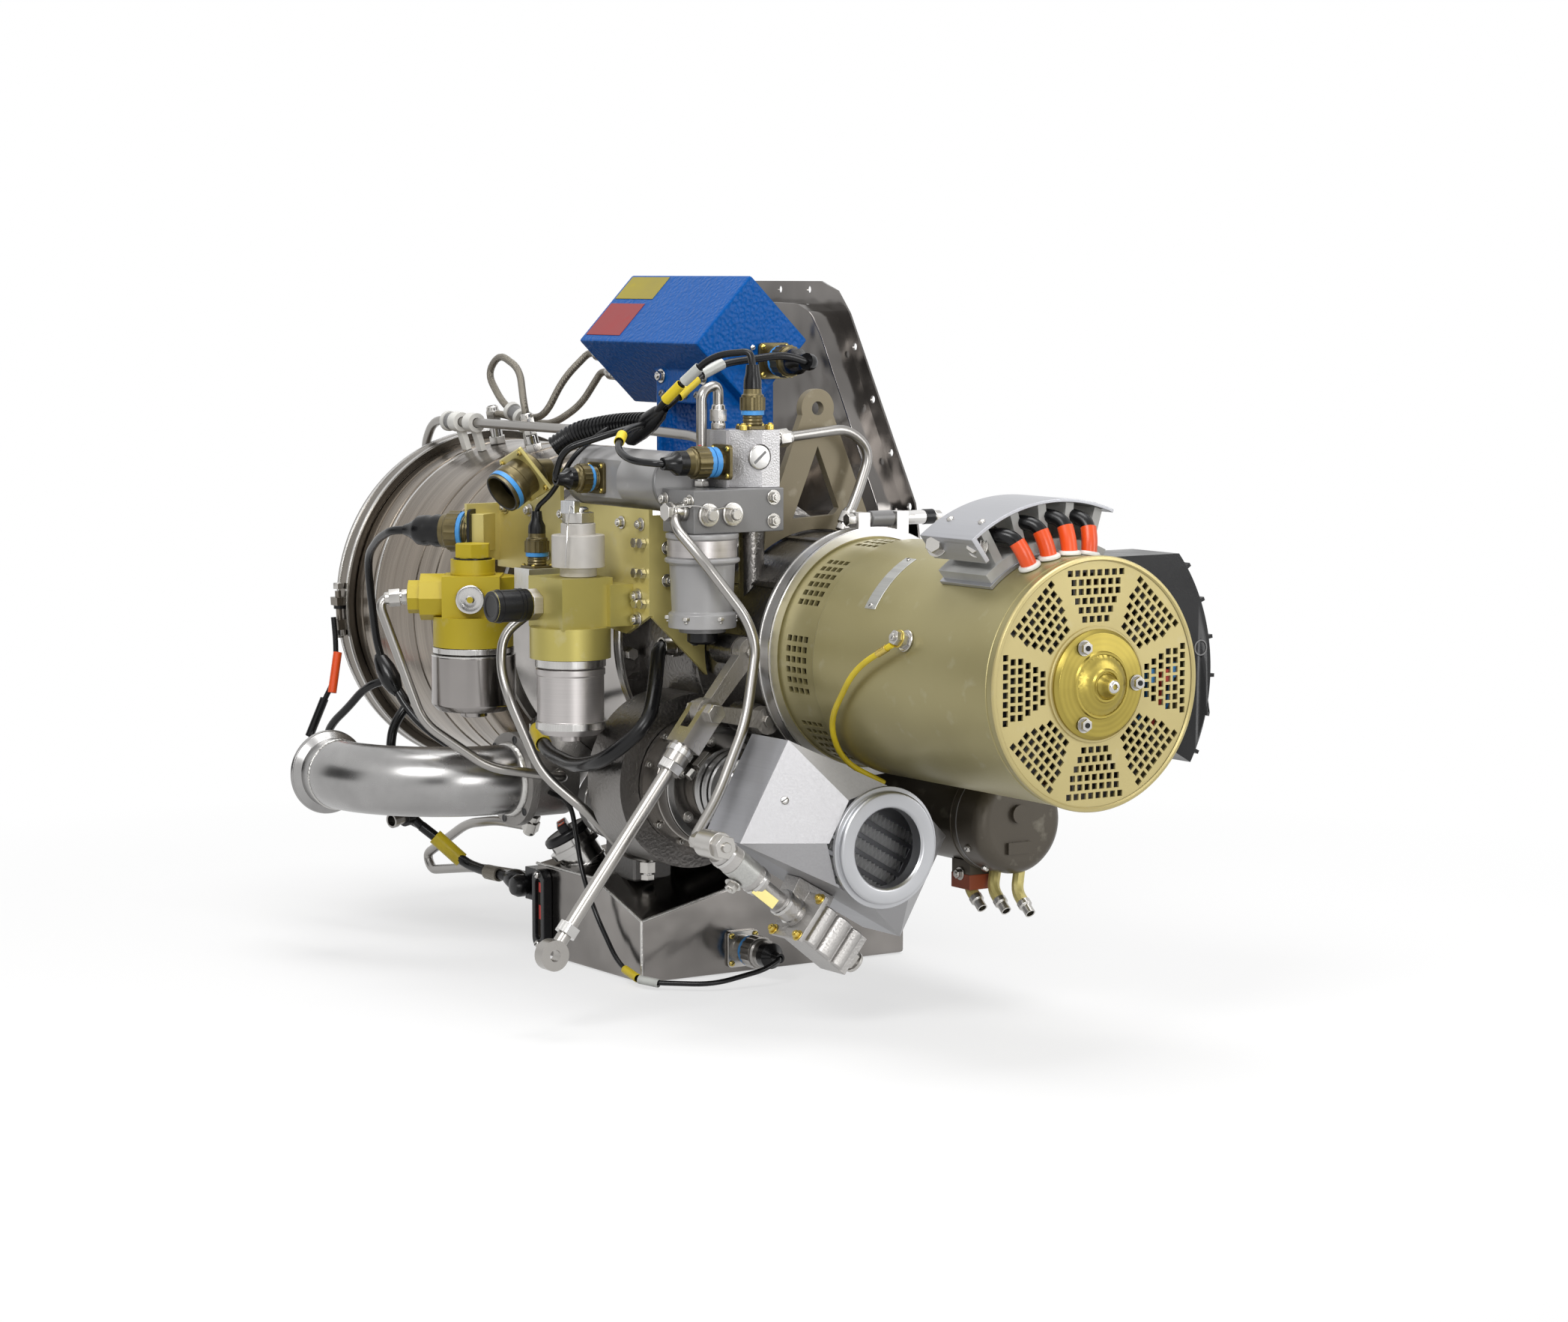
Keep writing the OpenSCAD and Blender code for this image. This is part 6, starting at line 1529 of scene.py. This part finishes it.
for x, w, lift in ((100, 12, 1.2), (114, 20, 0.7), (204, 14, 0.8), (244, 10, 0.8), (276, 26, 0.6)):
    clamps.ring(x, hoop(157.6, 158 + lift, 0, w, 0.8), "drum_steel", 128)
for x, r in ((138, 158), (322, 155.6)):
    clamps.ring(x, hoop(r - 0.6, r + 0.6, 0, 2.6, 0.6), "turned_steel", 128)
for x, r in ((348.8, 141.2), (536.6, 127.4)):
    clamps.ring(x, hoop(125, r, 0, 8, 1), "strip_steel")
clamps.done()

# %% [markdown]
# The fan's scroll has a bolted rim. The starter has a seam, slotted screws, a red brush block and
# stiff olive leads. The strut's fork has a nut and a locking collar; that piece swings with the
# strut.

# %% Scroll, starter and strut trim
scroll = Piece("scroll_trim", slots["fan_scroll"])
for x, profile, surface in ((641, hoop(50, 57, 0, 5), "scroll_alloy"),
                            (675.6, [(45, 0), (51, 0.4), (50.6, 1.6), (45, 2)], "turned_steel"),
                            (659, hoop(51.4, 53, 0, 3.2, 0.6), "scroll_alloy")):
    scroll.ring(x, profile, surface, 72, FAN_AXIS)
for k, (c, s) in enumerate(spaced(12, 10)):
    out = Vector((0, c, s))
    scroll.bolt(Vector((646, *FAN_AXIS)) + out * 54.2, FRONT, 5, 3, washer=0)
    if k % 2:
        scroll.bolt(Vector((676, *FAN_AXIS)) + out * 39, FRONT, 6, 3.4)
scroll.done()

starter = Piece("starter_trim", slots["starter_motor"])
start_axis = (80, -141)
starter.ring(817.4, hoop(43.6, 45.6, 0, 2, 0.4), "starter_brown", 64, start_axis)
starter.ring(826, hoop(44.4, 45.4, 0, 1.4, 0.3), "dark_enamel", 64, start_axis)
starter.screw((838, 58, -180.6), (0, -0.5, -0.86), 3.4)
starter.screw((838, 40, -162), (0, -0.87, -0.5), 3.4)
starter.block((27, 27, 13), "brush_red", (803, 71, -203))
starter.bolt((803, 57.4, -190), NEAR, 7, 4)
for i in range(3):
    x, y = 800 + 22 * i, 66 + 9 * i
    lead = [Vector((x, y + 6, -187 + 3 * i)), Vector((x + 4, y, -202)), Vector((x + 16, y, -212))]
    starter.tube(lead, 5.3, 8, "bracket_olive", 3)
    way = heading(lead[1], lead[2])
    starter.lathe([(4, 0), (6, 0), (6, 5), (4.6, 6), (4.6, 14), (3.4, 14), (3.4, 4)],
                  "plated_steel", lead[2] - way * 4, way, 20)
starter.done()

fork = Piece("strut_trim", "bright_steel", bodies_of["strut"])
pin_at, lean = Vector((725.1, -152, -45)), math.radians(-38)
rod_way = Vector((0, math.sin(lean), -math.cos(lean)))
for side in (-1, 1):
    fork.hexagon(15, 6, pin_at + FRONT * side * 13.2, FRONT * side, 20)
fork.hexagon(20, 8, pin_at + rod_way * 52, rod_way, 0, "turned_steel")
fork.lathe(hoop(9, 12, 0, 6, 0.6), "turned_steel", pin_at + rod_way * 38, rod_way, 32, 0)
fork.hexagon(18, 9, pin_at + rod_way * 214, rod_way, 0, "turned_steel")
fork.done()

# %% End
print("all pieces are made")
